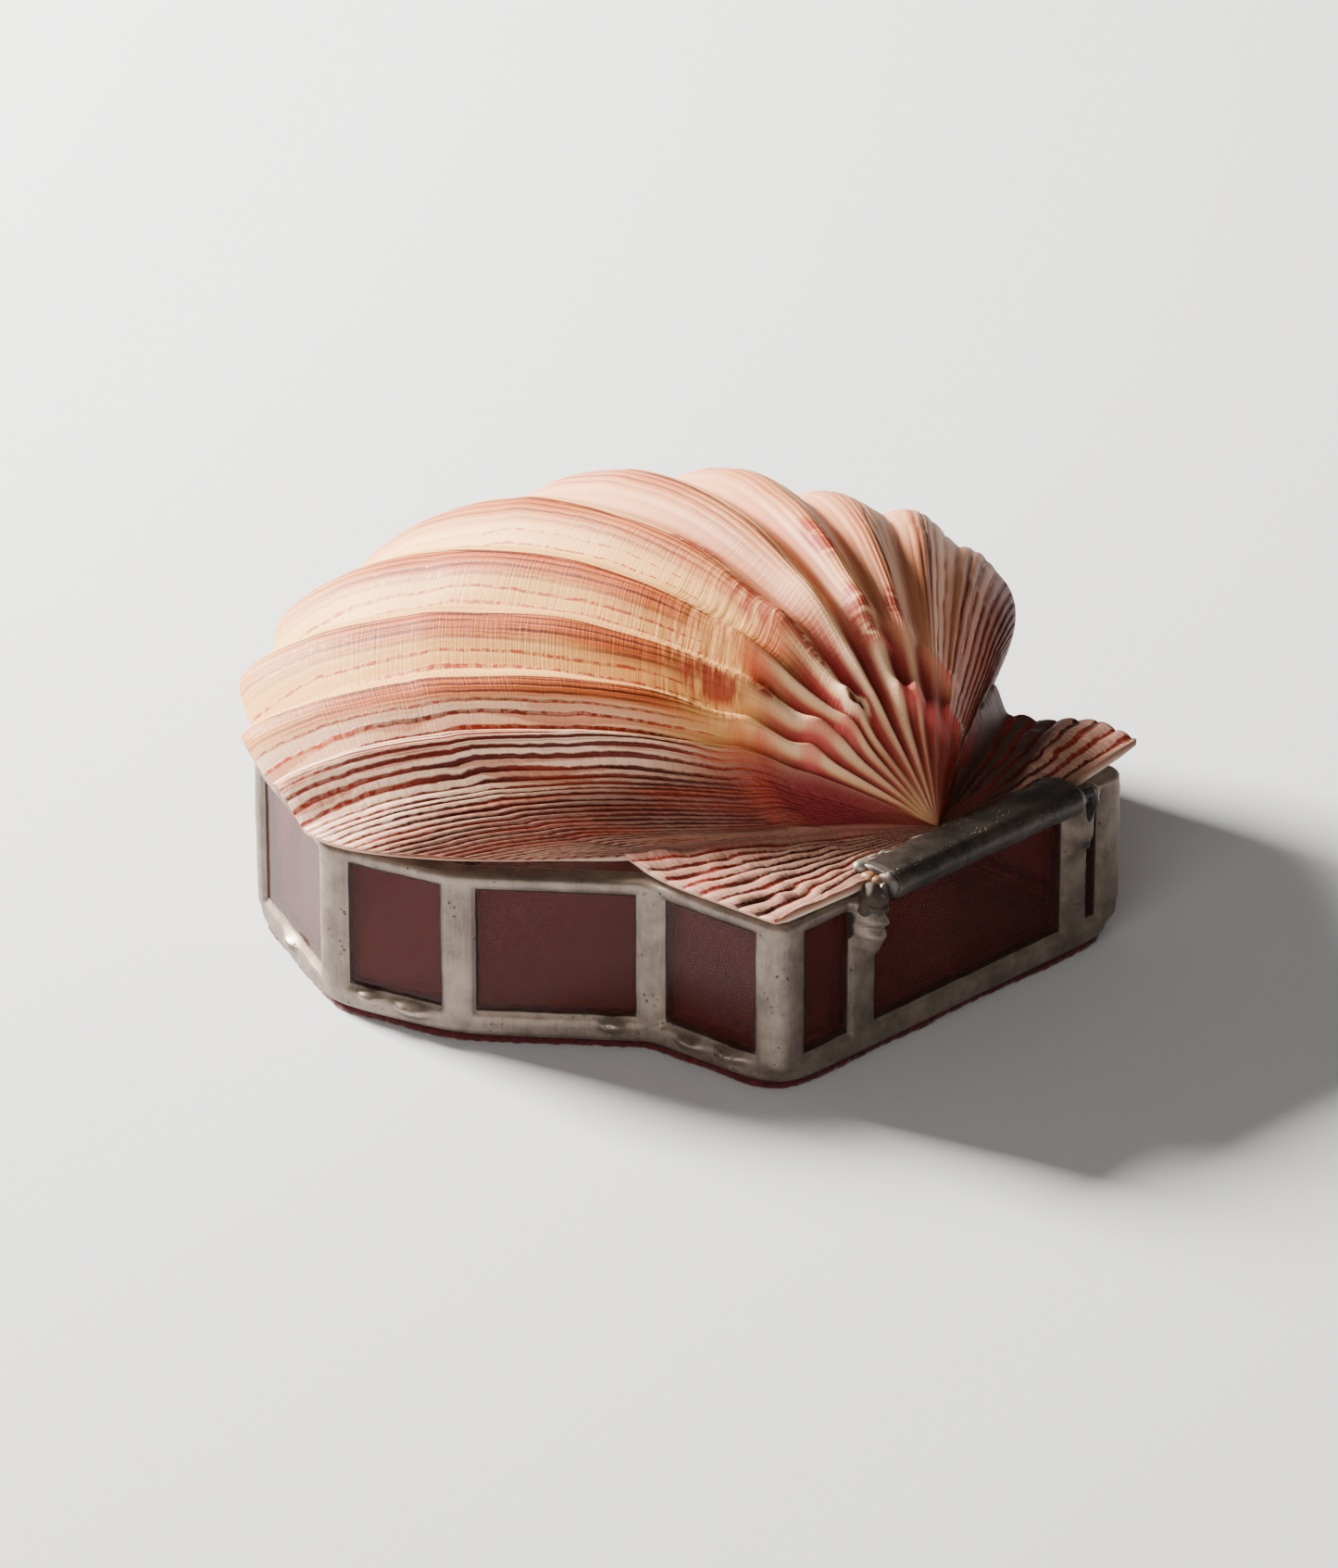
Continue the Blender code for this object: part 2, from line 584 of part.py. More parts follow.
def hinge_sleeve(material, pivot):
    """The sleeve: a tube on the rod with a hood that laps over the shell's hinge edge.

    Its section goes round the tube from the shell's edge, under and behind the axis to the top,
    then forward along the hood to a rounded lip and back under it.
    """
    bore = ROD_RADIUS + ROD_CLEARANCE
    lip_y = HINGE_Y - SLEEVE_GRIP - AXIS_Y
    under = LID_BOTTOM + EAR_THICKNESS + GAP - AXIS_Z
    turn = np.linspace(math.pi, 2.5 * math.pi, SLEEVE_STEPS)
    tube = SLEEVE_RADIUS * np.stack([np.cos(turn), np.sin(turn)], axis=1)
    top = (0.5 * lip_y, max(SLEEVE_RADIUS, under + SLEEVE_HOOD) + 0.1 * SLEEVE_RADIUS)
    hood = bezier([tube[-1], top, (lip_y, under + SLEEVE_HOOD), (lip_y, under)], np.linspace(0, 1, 7))[1:]
    section = np.concatenate([tube, hood, [(-SLEEVE_RADIUS, under)]])
    around = np.arctan2(section[:, 1], section[:, 0])
    hole = bore * np.stack([np.cos(around), np.sin(around)], axis=1)
    points = [
        (x, AXIS_Y + y, AXIS_Z + z)
        for x in (SLEEVE_FAR_X, SLEEVE_NEAR_X) for ring in (section, hole) for y, z in ring
    ]
    count = len(section)
    faces = []
    for i in range(count):
        k = (i + 1) % count
        faces.append((i, k, 2 * count + k, 2 * count + i))
        faces.append((count + k, count + i, 3 * count + i, 3 * count + k))
        faces.append((k, i, count + i, count + k))
        faces.append((2 * count + i, 2 * count + k, 3 * count + k, 3 * count + i))
    return add_piece("hinge_sleeve", points, faces, material, pivot)


def build():
    """Make every piece."""
    clear_scene()
    solder = finish("solder", (0.42, 0.40, 0.38), 0.38, metallic=0.9)
    glass = finish("plum_glass", (0.32, 0.09, 0.09), 0.06, transmission=0.85)
    felt = finish("crimson_felt", (0.30, 0.03, 0.06), 0.95)
    shell = finish("scallop_shell", (0.80, 0.62, 0.52), 0.35)
    pivot = bpy.data.objects.new("hinge_axis", None)
    pivot.location = (0.0, AXIS_Y, AXIS_Z)
    bpy.context.collection.objects.link(pivot)
    bays = wall_bays()
    solder_frame(solder, bays)
    panes(glass, bays)
    floor_pieces(glass, felt)
    hinge_rod(solder)
    hinge_sleeve(solder, pivot)
    shell_lid(shell, pivot)


build()
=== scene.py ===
"""The looks of a stained-glass trinket box whose lid is a scallop shell.

The shell, the solder seams, the hinge sleeve and the felt are made here as fine surfaces in place
of the plain solids. The panes, the glass floor and the wire keep their solids and get a finish.
Metres, +Z up, as in the frame: the hinge wall faces +Y, and the side at +X is called near.
"""
import itertools
import json
import math
from collections import namedtuple

import bmesh
import bpy
import numpy as np
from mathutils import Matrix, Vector


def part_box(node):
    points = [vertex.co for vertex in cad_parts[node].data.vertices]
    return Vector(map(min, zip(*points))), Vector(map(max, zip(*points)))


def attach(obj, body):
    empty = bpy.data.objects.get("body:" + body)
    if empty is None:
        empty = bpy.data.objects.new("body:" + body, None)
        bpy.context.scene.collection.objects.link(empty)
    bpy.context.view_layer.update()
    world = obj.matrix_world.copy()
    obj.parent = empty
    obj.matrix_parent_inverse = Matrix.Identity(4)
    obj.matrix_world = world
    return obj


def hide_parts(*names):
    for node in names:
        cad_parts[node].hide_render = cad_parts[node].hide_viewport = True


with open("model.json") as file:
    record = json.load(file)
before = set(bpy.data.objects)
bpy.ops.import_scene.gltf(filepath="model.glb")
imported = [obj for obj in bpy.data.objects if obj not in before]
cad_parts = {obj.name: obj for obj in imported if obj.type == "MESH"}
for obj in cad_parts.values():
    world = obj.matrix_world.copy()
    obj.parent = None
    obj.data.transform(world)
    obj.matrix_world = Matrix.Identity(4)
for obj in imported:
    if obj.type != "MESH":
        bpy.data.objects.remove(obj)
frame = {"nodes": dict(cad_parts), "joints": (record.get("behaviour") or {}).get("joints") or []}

MM = 0.001
DEG = math.pi / 180
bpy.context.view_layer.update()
NODES = frame["nodes"]

# The shell's form, the same as the solid's
LID_WIDTH = 118.4 * MM
LID_LENGTH = 112.0 * MM
WIDEST_FROM_HINGE = 60.0 * MM
HALF_HINGE = 34.5 * MM
DISC_SHIFT = 0.6 * MM
FRONT_FULLNESS = 1.87
DOME_HEIGHT = 24.5 * MM
DOME_TOP_ANGLE = -7.6 * DEG
BACK_STEEPNESS = 1.08
FRONT_STEEPNESS = 0.80
UMBO = np.array([0.0, -3.8 * MM])
SHELL_WALL = 2.4 * MM
SHELL_EDGE = 0.9 * MM
EAR_THICKNESS = 1.7 * MM
NEAR_FLANK_LIFT = 1.5 * MM
NEAR_LIFT_PLACE = 0.95
NEAR_LIFT_BREADTH = 0.1
FAR_FLANK_LIFT = 5.0 * MM
FAR_LIFT_START = 0.57
FAR_LIFT_FULL = 0.78
FAR_LIFT_END = 1.06
EAR_BLEND = 0.06
EDGE_BAND = 0.2
RIB_STEP = 12.9 * DEG
RIB_HEIGHT = 4.4 * MM
RIB_GROWTH = 1.15
LEDGE_PLACE = 0.27
LEDGE_BREADTH = 0.04
LEDGE_HEIGHT = 0.8 * MM
INNER_FURROW = 1.3 * MM
SCALLOP = 0.03
SLEEVE_REACH = 20.2 * MM

# What differs between the near and the far side of the shell
Side = namedtuple("Side", "sign notch ear bow curl wide bulge fan ribs_end rib_fade top spread roundness")
NEAR = Side(
    1, 35.3 * MM, 27.0 * MM, 1.4 * MM, 0.4 * MM, LID_WIDTH / 2 - DISC_SHIFT, 0.0,
    52.0 * DEG, 4.6, 0.6, 0.47, 65.0 * DEG, 1.87,
)
FAR = Side(
    -1, 30.5 * MM, 22.5 * MM, 2.5 * MM, 2.2 * MM, LID_WIDTH / 2 + DISC_SHIFT, 5.0 * MM,
    57.0 * DEG, 5.6, 3.8, 0.40, 55.0 * DEG, 2.5,
)

# The knobs round the umbo: rib number, share out, radius and height. One is broken open, and the
# depth of its hole is a share of its height
Knob = namedtuple("Knob", "rib out radius height hollow")
KNOBS = (
    Knob(2.0, 0.165, 2.5 * MM, 1.5 * MM, 0), Knob(1.1, 0.13, 1.9 * MM, 1.5 * MM, 0),
    Knob(2.96, 0.18, 1.8 * MM, 0.9 * MM, 0), Knob(-0.15, 0.145, 2.1 * MM, 2.5 * MM, 1),
    Knob(-2.55, 0.155, 1.9 * MM, 2.3 * MM, 0), Knob(-2.25, 0.225, 1.3 * MM, 0.9 * MM, 0),
    Knob(-4.0, 0.165, 2.2 * MM, 1.3 * MM, 0), Knob(-4.64, 0.295, 1.7 * MM, 1.5 * MM, 0),
    Knob(-5.26, 0.235, 1.6 * MM, 1.5 * MM, 0),
)
BROKEN = [knob.hollow for knob in KNOBS].index(1)
HOLE_DEPTH = 1.1

# Places that follow from the frame
FRAME_LOW, FRAME_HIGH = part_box("solder_frame")
HINGE_Y = FRAME_HIGH[1]
RIM_HEIGHT = FRAME_HIGH[2]
FRAME_BOTTOM = FRAME_LOW[2]
FLOOR_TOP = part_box("base_glass")[1][2]
LID_BOTTOM, LID_TOP = [corner[2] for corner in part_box("shell_lid")]
AXIS = np.array(frame["joints"][0]["pos_m"])

# The shell's fine cords: how many on each rib, their pitch at the edge elsewhere, and by what
# share they get fewer on the outer ribs, between which rib numbers
CORDS_PER_RIB = 10
CORDS_MORE_ON_CREST = 3
NEAR_FEWER = (0.2, 3.2, 4.6)
FAR_FEWER = (0.45, 2.5, 4.2)
PITCH_FROM_RIB = 3.9
FLANK_PITCH = 2.0 * MM
FAR_FLANK_PITCH = 3.3 * MM
EAR_PITCH = 3.2 * MM
CORD_DEPTH_ON_RIBS = 0.20 * MM
CORD_DEPTH_ON_FLANKS = 0.55 * MM
CORD_DEPTH_ON_EARS = 0.6 * MM

# The steps where growth paused, share out and drop, and the skin's uneven swells, ledge and ears
GROWTH_PAUSES = ((0.74, 0.22 * MM), (0.90, 0.15 * MM), (0.55, 0.10 * MM))
PAUSE_BREADTH = 0.016
SWELL = 0.18 * MM
KNOBBLE_HEIGHT = 0.42 * MM
EAR_BEAD_HEIGHT = 0.30 * MM
LEAST_THICKNESS = 0.45 * MM

# The shell's grid: columns for each cord, and rows inside and outside a share of the way out
COLUMNS_PER_EAR_CORD = 9.6
COLUMNS_PER_FLANK_CORD = 6.4
COLUMNS_PER_RIB_CORD = 4.8
COLUMNS_MORE_WHERE_FEWER = 2.0
HINGE_COLUMNS = 40
FINE_ROWS = 56
FINE_SHARE = 0.33
COARSE_ROWS = 44
INNER_ROWS = 14
EAR_STEPS = 200
FLANK_STEPS = 400
FRONT_STEPS = 900
ON_EAR, ON_FLANK, ON_FRONT, ON_HINGE = range(4)

# The shell's colours by rib: how strong the fine lines on its crest are, and how brown it is
CREST_LINES = {4: 1.0, 3: 1.0, 2: 1.0, 1: 0.95, 0: 0.75, -1: 0.7, -2: 0.3, -3: 0.45, -4: 0.6, -5: 0.8}
CREST_WARMTH = {4: 0.9, 3: 1.0, 2: 0.95, 1: 1.0, 0: 0.8, -1: 0.55, -2: 0.5, -3: 0.6, -4: 0.6, -5: 0.6}

# Brick-red blotches: rib number, share out, and their breadth in both
BLOTCHES = (
    (0.0, 0.305, 0.30, 0.055), (2.20, 0.32, 0.22, 0.045), (-1.88, 0.26, 0.25, 0.05),
    (-0.10, 0.22, 0.2, 0.025), (1.73, 0.245, 0.3, 0.022), (-0.25, 0.44, 0.22, 0.05),
    (-1.9, 0.42, 0.2, 0.05), (-2.9, 0.31, 0.22, 0.04),
)

# The box's walls, windows and posts, the same as the solid's. A side's posts are the notch's,
# from the hinge wall, and the shoulder's, out from the shell's flank
FRAME_WALL = 4.0 * MM
BASE_LEDGE = 2.0 * MM
WINDOW_LOW = FRAME_BOTTOM + 3.5 * MM
WINDOW_HIGH = RIM_HEIGHT - 1.9 * MM
HINGE_POSTS = (17.6 * MM, -23.3 * MM)
HINGE_POST_WIDTH = 4.8 * MM
HALF_POST = 1.8 * MM
POST_TURN = 3.4 * MM
OVERHANG = 1.2 * MM
FRONT_OVERHANG = 1.9 * MM
NEAR_POSTS = (21.6 * MM, 1.2 * MM)
FAR_POSTS = (25.0 * MM, -2.4 * MM)
FRONT_CORNERS = np.array([30.0, 11.2]) * DEG

# The seams' roundings, the grid's steps, and the thin foil that laps over the glass, wider at a window's foot
# as painted shade
CORNER_ROUNDING = 3.0 * MM
INNER_ROUNDING = 0.6 * MM
LEDGE_ROUNDING = 0.4 * MM
LEAST_ROUNDING = 2.0 * MM
TOP_ROUNDING = 0.8 * MM
BOTTOM_ROUNDING = 1.1 * MM
FOOT_SMOOTHING = 5.0 * MM
SEAM_DROP = 0.8 * MM
SEAM_SHOULDER = 1.7 * MM
INNER_DOME = 0.6
BEAD = 0.9 * MM
FOOT_STEP = 0.9 * MM
FOIL_DEPTH = 0.86 * MM
FOIL_WIDTH = 0.30 * MM
ARC_STEPS = 7
ROUNDING_ROWS = 6
LOW_BAND_ROWS = 7
HIGH_BAND_ROWS = 4
RIM_ROWS = 6
POST_STEP = 0.40 * MM
PANE_STEP = 0.55 * MM
WINDOW_ROWS = 30

# The blobs of solder over the wire's ends: where each begins and how far it stands out
TEAR_FOOT = 13.0 * MM
TEAR_HEIGHT = 3.0 * MM
LOBED_FOOT = 14.5 * MM
LOBED_HEIGHT = 2.2 * MM

# Lumps on the wire's bends: which post, then in mm sideways, out from the wall and up, the
# radii, and how dark with crust
BEND_LUMPS = (
    (0, (0.2, 1.6, 25.2), (1.9, 1.7, 1.8), 1.0), (0, (-0.4, 1.3, 23.4), (1.8, 1.6, 1.9), 0.9),
    (0, (1.2, 1.2, 24.2), (1.3, 1.2, 1.5), 1.0), (1, (-0.5, 1.5, 25.4), (1.5, 1.4, 1.5), 0.0),
    (1, (0.5, 1.0, 23.7), (1.4, 1.2, 1.5), 0.0),
)
BEND_SEEDS = range(90, 95)
BEND_ROUGHNESS = 0.22
CRUST_OUT = 2.4 * MM
CRUST_REACH = 3.0 * MM

# Folded runs of solder under the near windows: wall, share along it, height, half length
FOLDS = (
    (2, 0.34, 3.6 * MM, 2.6 * MM), (2, 0.66, 4.0 * MM, 1.8 * MM), (0, 0.38, 4.0 * MM, 2.2 * MM),
    (0, 0.7, 3.5 * MM, 2.0 * MM), (1, 0.2, 3.9 * MM, 1.6 * MM), (3, 0.5, 3.8 * MM, 2.2 * MM),
)
FOLD_HEIGHT = 0.9 * MM
FOLD_BREADTH = 0.9 * MM

# The sleeve, and the lumps at its near end, in mm sideways, back and up from its lip's corner,
# their radii, how torn and brightened by a painted highlight, and how much resin
SLEEVE_BORE = 1.1 * MM
SLEEVE_WALL = 1.1 * MM
SHELL_GAP = 0.3 * MM
TUBE_STEPS = 40
HOOD_STEPS = 26
UNDER_STEPS = 8
STEPS_ALONG = 150
SLEEVE_LUMPS = (
    ((-0.7, 0.9, 2.2), (1.7, 1.3, 0.9), 0.45, 0.0), ((0.2, 2.9, 1.5), (1.1, 1.5, 0.8), 0.0, 1.0),
    ((0.2, 4.2, 1.2), (0.9, 1.1, 0.9), 0.0, 1.0), ((-0.4, 5.7, 1.2), (0.8, 1.9, 1.9), 0.0, 0.0),
    ((-3.1, 0.1, 2.1), (0.9, 0.4, 0.4), 0.9, 0.0), ((-5.2, 0.0, 2.1), (0.7, 0.35, 0.35), 0.9, 0.0),
)
SLEEVE_LUMP_SEEDS = range(21671, 23082, 282)
SLEEVE_LUMP_ROUGHNESS = 0.18

# The felt's section from its top to its underside: mm in from the plan, and share of its height
FELT_SECTION = (
    (12.0, 1.0), (1.5, 1.0), (0.95, 0.9), (0.8, 0.55), (0.9, 0.25), (1.2, 0.0), (12.0, 0.0),
)
FELT_COLUMNS = 1400

# Camera and light
VIEW_AZIMUTH = 134.944 * DEG
VIEW_HEIGHT = 26.497 * DEG
VIEW_DISTANCE = 1.2
AIM = Vector((0.04453, 0.04360, 0.04700))
LENS_MM = 214.88
SENSOR_MM = 36.0
LIGHT_TONE = (1.0, 0.90, 0.76)
FLOOR_TONE = (0.70, 0.765, 0.88)
HALF_FLOOR = 3.0
LIT_PLACE = Vector((0, 0, 0.03))
# Each lamp's place, its width in metres and its power
LAMPS = (
    ("key", Vector((0.20, -0.89, 0.46)), 0.28, 80.0),
    ("fill", Vector((1.05, 0.58, 0.36)), 0.8, 7.5),
)
SKY_STRENGTH = 0.16


def srgb(red, green, blue):
    """A colour given from 0 to 255, as linear light."""
    parts = np.array([red, green, blue]) / 255
    return np.where(parts <= 0.04045, parts / 12.92, ((parts + 0.055) / 1.055) ** 2.4)


def rise(value, low, high):
    """A smooth step: 0 below low, 1 above high."""
    share = np.clip((value - low) / (high - low), 0, 1)
    return share * share * (3 - 2 * share)


def swell(value, low, high, over, end):
    """A smooth flat-topped hump: 0 below low, 1 from high to over, and 0 past end."""
    return rise(value, low, high) * (1 - rise(value, over, end))


def bell(value, middle, breadth):
    """A smooth hump: 1 in the middle, fading with the square of the distance over its breadth."""
    return np.exp(-(((value - middle) / breadth) ** 2))


def places_of(*parts):
    """Places made of their parts, each a number or an array."""
    return np.stack(np.broadcast_arrays(*parts), axis=-1)


def lay(tint, colour, weight):
    """A colour laid over a tint by a weight from 0 to 1."""
    weight = np.clip(weight, 0, 1)[..., None]
    return tint * (1 - weight) + colour * weight


def lumps(points, size, seed):
    """Smooth random heights from -1 to 1: scrambled values on a lattice, blended between its corners."""
    cells = np.asarray(points, dtype=float) / size
    low = np.floor(cells)
    share = cells - low
    share = share * share * (3 - 2 * share)
    stir = np.array([127.1, 311.7, 74.7])[: cells.shape[-1]]
    total = np.zeros(cells.shape[:-1])
    for corner in itertools.product((0, 1), repeat=cells.shape[-1]):
        weight = np.where(np.array(corner) == 1, share, 1 - share).prod(axis=-1)
        scrambled = np.sin((low + np.array(corner)) @ stir + 17.3 * seed) * 43758.5453
        total += weight * (2 * (scrambled - np.floor(scrambled)) - 1)
    return total


def bezier(controls, shares):
    """Points on a Bezier curve of any degree, at shares from 0 to 1 along it."""
    controls = np.array(controls, dtype=float)
    degree = len(controls) - 1
    shares = np.asarray(shares)[:, None]
    weights = [math.comb(degree, i) * shares**i * (1 - shares) ** (degree - i) for i in range(degree + 1)]
    return sum(weight * control for weight, control in zip(weights, controls))


def steps_round(loop):
    """The length of each step round a closed loop."""
    return np.linalg.norm(np.roll(loop, -1, axis=0) - loop, axis=1)


def summed(steps):
    """Where each step begins, and last where they all end."""
    return np.concatenate([[0], np.cumsum(steps)])


def points_at(loop, runs, wanted):
    """Points of a closed loop, at wanted values of a run that is known at each of its own points."""
    ring = np.concatenate([loop, loop[:1]])
    return places_of(*[np.interp(wanted, runs, ring[:, axis]) for axis in (0, 1)])


def inset_loop(loop, distance):
    """A closed plan loop, given clockwise from above, moved inwards with mitred corners."""
    back = loop - np.roll(loop, 1, axis=0)
    ahead = np.roll(loop, -1, axis=0) - loop
    back = back / np.linalg.norm(back, axis=1)[:, None]
    ahead = ahead / np.linalg.norm(ahead, axis=1)[:, None]
    in_back = places_of(back[:, 1], -back[:, 0])
    in_ahead = places_of(ahead[:, 1], -ahead[:, 0])
    return loop + distance * (in_back + in_ahead) / (1 + (in_back * in_ahead).sum(axis=1))[:, None]


class Wire:
    """A shader socket in an expression: arithmetic on it adds Math nodes to its material."""

    def __init__(self, tree, socket=None):
        self.tree = tree
        self.socket = socket

    def node(self, kind, settings=None, sockets=None, output=0):
        """Any node: its settings go in first, then its sockets' values or links."""
        made = self.tree.nodes.new("ShaderNode" + kind)
        for name, value in (settings or {}).items():
            setattr(made, name, value)
        for name, value in (sockets or {}).items():
            if isinstance(value, Wire):
                self.tree.links.new(value.socket, made.inputs[name])
            else:
                made.inputs[name].default_value = value
        return Wire(self.tree, made.outputs[output])

    def math(self, operation, first, second=0.0):
        """A Math node on one or two values."""
        return self.node("Math", {"operation": operation}, {0: first, 1: second})

    def __add__(self, other):
        return self.math("ADD", self, other)

    def __radd__(self, other):
        return self.math("ADD", other, self)

    def __sub__(self, other):
        return self.math("SUBTRACT", self, other)

    def __rsub__(self, other):
        return self.math("SUBTRACT", other, self)

    def __mul__(self, other):
        return self.math("MULTIPLY", self, other)

    def __rmul__(self, other):
        return self.math("MULTIPLY", other, self)

    def __abs__(self):
        return self.math("ABSOLUTE", self)

    def part(self):
        """The fraction past the whole number below."""
        return self.math("FRACT", self)

    def rise(self, low, high):
        """A smooth step: 0 below low, 1 above high."""
        sockets = {"Value": self, "From Min": low, "From Max": high}
        return self.node("MapRange", {"interpolation_type": "SMOOTHSTEP"}, sockets)

    def grain(self, place, scale, detail=2.0, roughness=0.5):
        """Noise from 0 to 1 at a place."""
        sockets = {"Vector": place, "Scale": scale, "Detail": detail, "Roughness": roughness}
        return self.node("TexNoise", {}, sockets)

    def place(self, x=0.0, y=0.0, z=0.0):
        """A place made of three numbers."""
        return self.node("CombineXYZ", {}, {"X": x, "Y": y, "Z": z})

    def stretch(self, place, x=1.0, y=1.0, z=1.0):
        """A place stretched along each axis."""
        return self.node("VectorMath", {"operation": "MULTIPLY"}, {0: place, 1: (x, y, z)})

    def blend(self, factor, first, second, kind="MIX"):
        """A colour between two by a factor, or another kind of mix of them, such as MULTIPLY."""
        settings = {"data_type": "RGBA", "blend_type": kind}
        first, second = [c if isinstance(c, Wire) else (*c, 1.0) for c in (first, second)]
        return self.node("Mix", settings, {0: factor, 6: first, 7: second}, output=2)

    def layered(self, colour, layers):
        """A colour with others laid over it in turn, each by its share."""
        for share, other in layers:
            colour = self.blend(share, colour, other)
        return colour

    def bump(self, height, strength, distance):
        """A normal that follows a height."""
        return self.node("Bump", {}, {"Strength": strength, "Distance": distance, "Height": height})

    def spot(self):
        """The place on the object."""
        return self.node("TexCoord", output="Object")

    def attribute(self, name, output="Fac"):
        """A value that the piece's own mesh carries."""
        return self.node("Attribute", {"attribute_name": name}, output=output)


def new_finish(name, **plain):
    """A Principled material with plain values on its sockets, and the wire to build on."""
    material = bpy.data.materials.new(name)
    material.use_nodes = True
    tree = material.node_tree
    shader = tree.nodes["Principled BSDF"]
    for socket, value in plain.items():
        shader.inputs[socket.replace("_", " ")].default_value = value
    return material, Wire(tree), shader


def feed(shader, **wires):
    """Link wires to the shader's sockets."""
    for socket, wire in wires.items():
        wire.tree.links.new(wire.socket, shader.inputs[socket.replace("_", " ")])


def add_mesh(name, points, faces, material, body, attributes=None):
    """A smooth piece that rides on a body, its points already in the frame."""
    mesh = bpy.data.meshes.new(name)
    faces = faces.tolist() if isinstance(faces, np.ndarray) else faces
    mesh.from_pydata(points.tolist(), [], faces)
    for key, values in (attributes or {}).items():
        values = np.asarray(values, dtype=np.float32)
        kind = "FLOAT_COLOR" if values.ndim == 2 else "FLOAT"
        layer = mesh.attributes.new(key, kind, "POINT")
        layer.data.foreach_set("color" if values.ndim == 2 else "value", values.ravel())
    mesh.shade_smooth()
    mesh.materials.append(material)
    piece = bpy.data.objects.new(name, mesh)
    bpy.context.collection.objects.link(piece)
    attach(piece, body)
    return piece


def point_outwards(mesh):
    """Turn a closed mesh's faces so that they all point out."""
    work = bmesh.new()
    work.from_mesh(mesh)
    bmesh.ops.recalc_face_normals(work, faces=work.faces)
    work.to_mesh(mesh)
    work.free()


def grid_faces(rows, columns, closed_rows=False):
    """Quads of a grid whose columns close on themselves. Its rows may close too."""
    here = np.arange(columns)
    after = (here + 1) % columns
    low = np.arange(rows if closed_rows else rows - 1)[:, None]
    high = (low + 1) % rows
    a, b = low * columns + here, low * columns + after
    c, d = high * columns + after, high * columns + here
    return np.stack([a, d, c, b], axis=2).reshape(-1, 4)


def closed_skin(grid, above, below):
    """A grid's points and faces, closed by a fan to a point above its first row and one below its last."""
    rows, columns = grid.shape[:2]
    points = np.concatenate([grid.reshape(-1, 3), [above, below]])
    here = np.arange(columns)
    after = (here + 1) % columns
    last = (rows - 1) * columns
    fans = [[rows * columns, a, b] for a, b in zip(here, after)]
    fans += [[rows * columns + 1, last + b, last + a] for a, b in zip(here, after)]
    return points, grid_faces(rows, columns).tolist() + fans


# Plan and heights of the shell, measured from the middle of the hinge edge

def ear_side(side, shares):
    """An ear's side, from the hinge edge's corner to the notch, bowed a little outwards."""
    bow = (max(HALF_HINGE, side.notch) + side.bow, -0.55 * side.ear)
    return bezier([(HALF_HINGE, 0), bow, (side.notch, -side.ear)], shares)


def flank(side, shares):
    """A side of the disc, from the notch out to the widest place."""
    reach = WIDEST_FROM_HINGE - side.ear
    shoulder = (0.5 * (side.notch + side.wide), -side.ear - 0.25 * reach)
    run = (side.wide, -WIDEST_FROM_HINGE + 0.4 * reach + side.bulge)
    return bezier([(side.notch, -side.ear), shoulder, run, (side.wide, -WIDEST_FROM_HINGE)], shares)


def front_at(side, angles):
    """The round front, a quarter of a superellipse, where rays from the umbo meet it."""
    depth = LID_LENGTH - WIDEST_FROM_HINGE
    turn = np.linspace(0, math.pi / 2, FRONT_STEPS)
    x = side.wide * np.cos(turn).clip(0) ** (2 / FRONT_FULLNESS) - UMBO[0]
    y = -WIDEST_FROM_HINGE - depth * np.sin(turn) ** (2 / FRONT_FULLNESS) - UMBO[1]
    seen = np.arctan2(x, -y)[::-1]
    reach = np.interp(np.abs(angles), seen, np.hypot(x, y)[::-1])
    return UMBO + reach[:, None] * places_of(np.sin(angles), -np.cos(angles))


def rib_number(angles):
    """Which rib an angle lies on, as a number from the middle: ribs crowd towards the flanks."""
    fan = np.where(angles > 0, NEAR.fan, FAR.fan)
    return np.arcsin(np.clip(angles / fan, -1, 1)) / RIB_STEP


def side_outline(side):
    """Half of the shell's outline in small steps: ear, flank and front, to just short of the middle."""
    widest = math.atan2(side.wide, WIDEST_FROM_HINGE + UMBO[1])
    ear = ear_side(side, np.linspace(0, 1, EAR_STEPS))
    across = flank(side, np.linspace(0, 1, FLANK_STEPS)[1:-1])
    front = front_at(side, np.linspace(widest, 0, FRONT_STEPS)[:-1])
    parts = np.repeat([ON_EAR, ON_FLANK, ON_FRONT], [len(ear), len(across), len(front)])
    return np.concatenate([ear, across, front]) * np.array([side.sign, 1]), parts


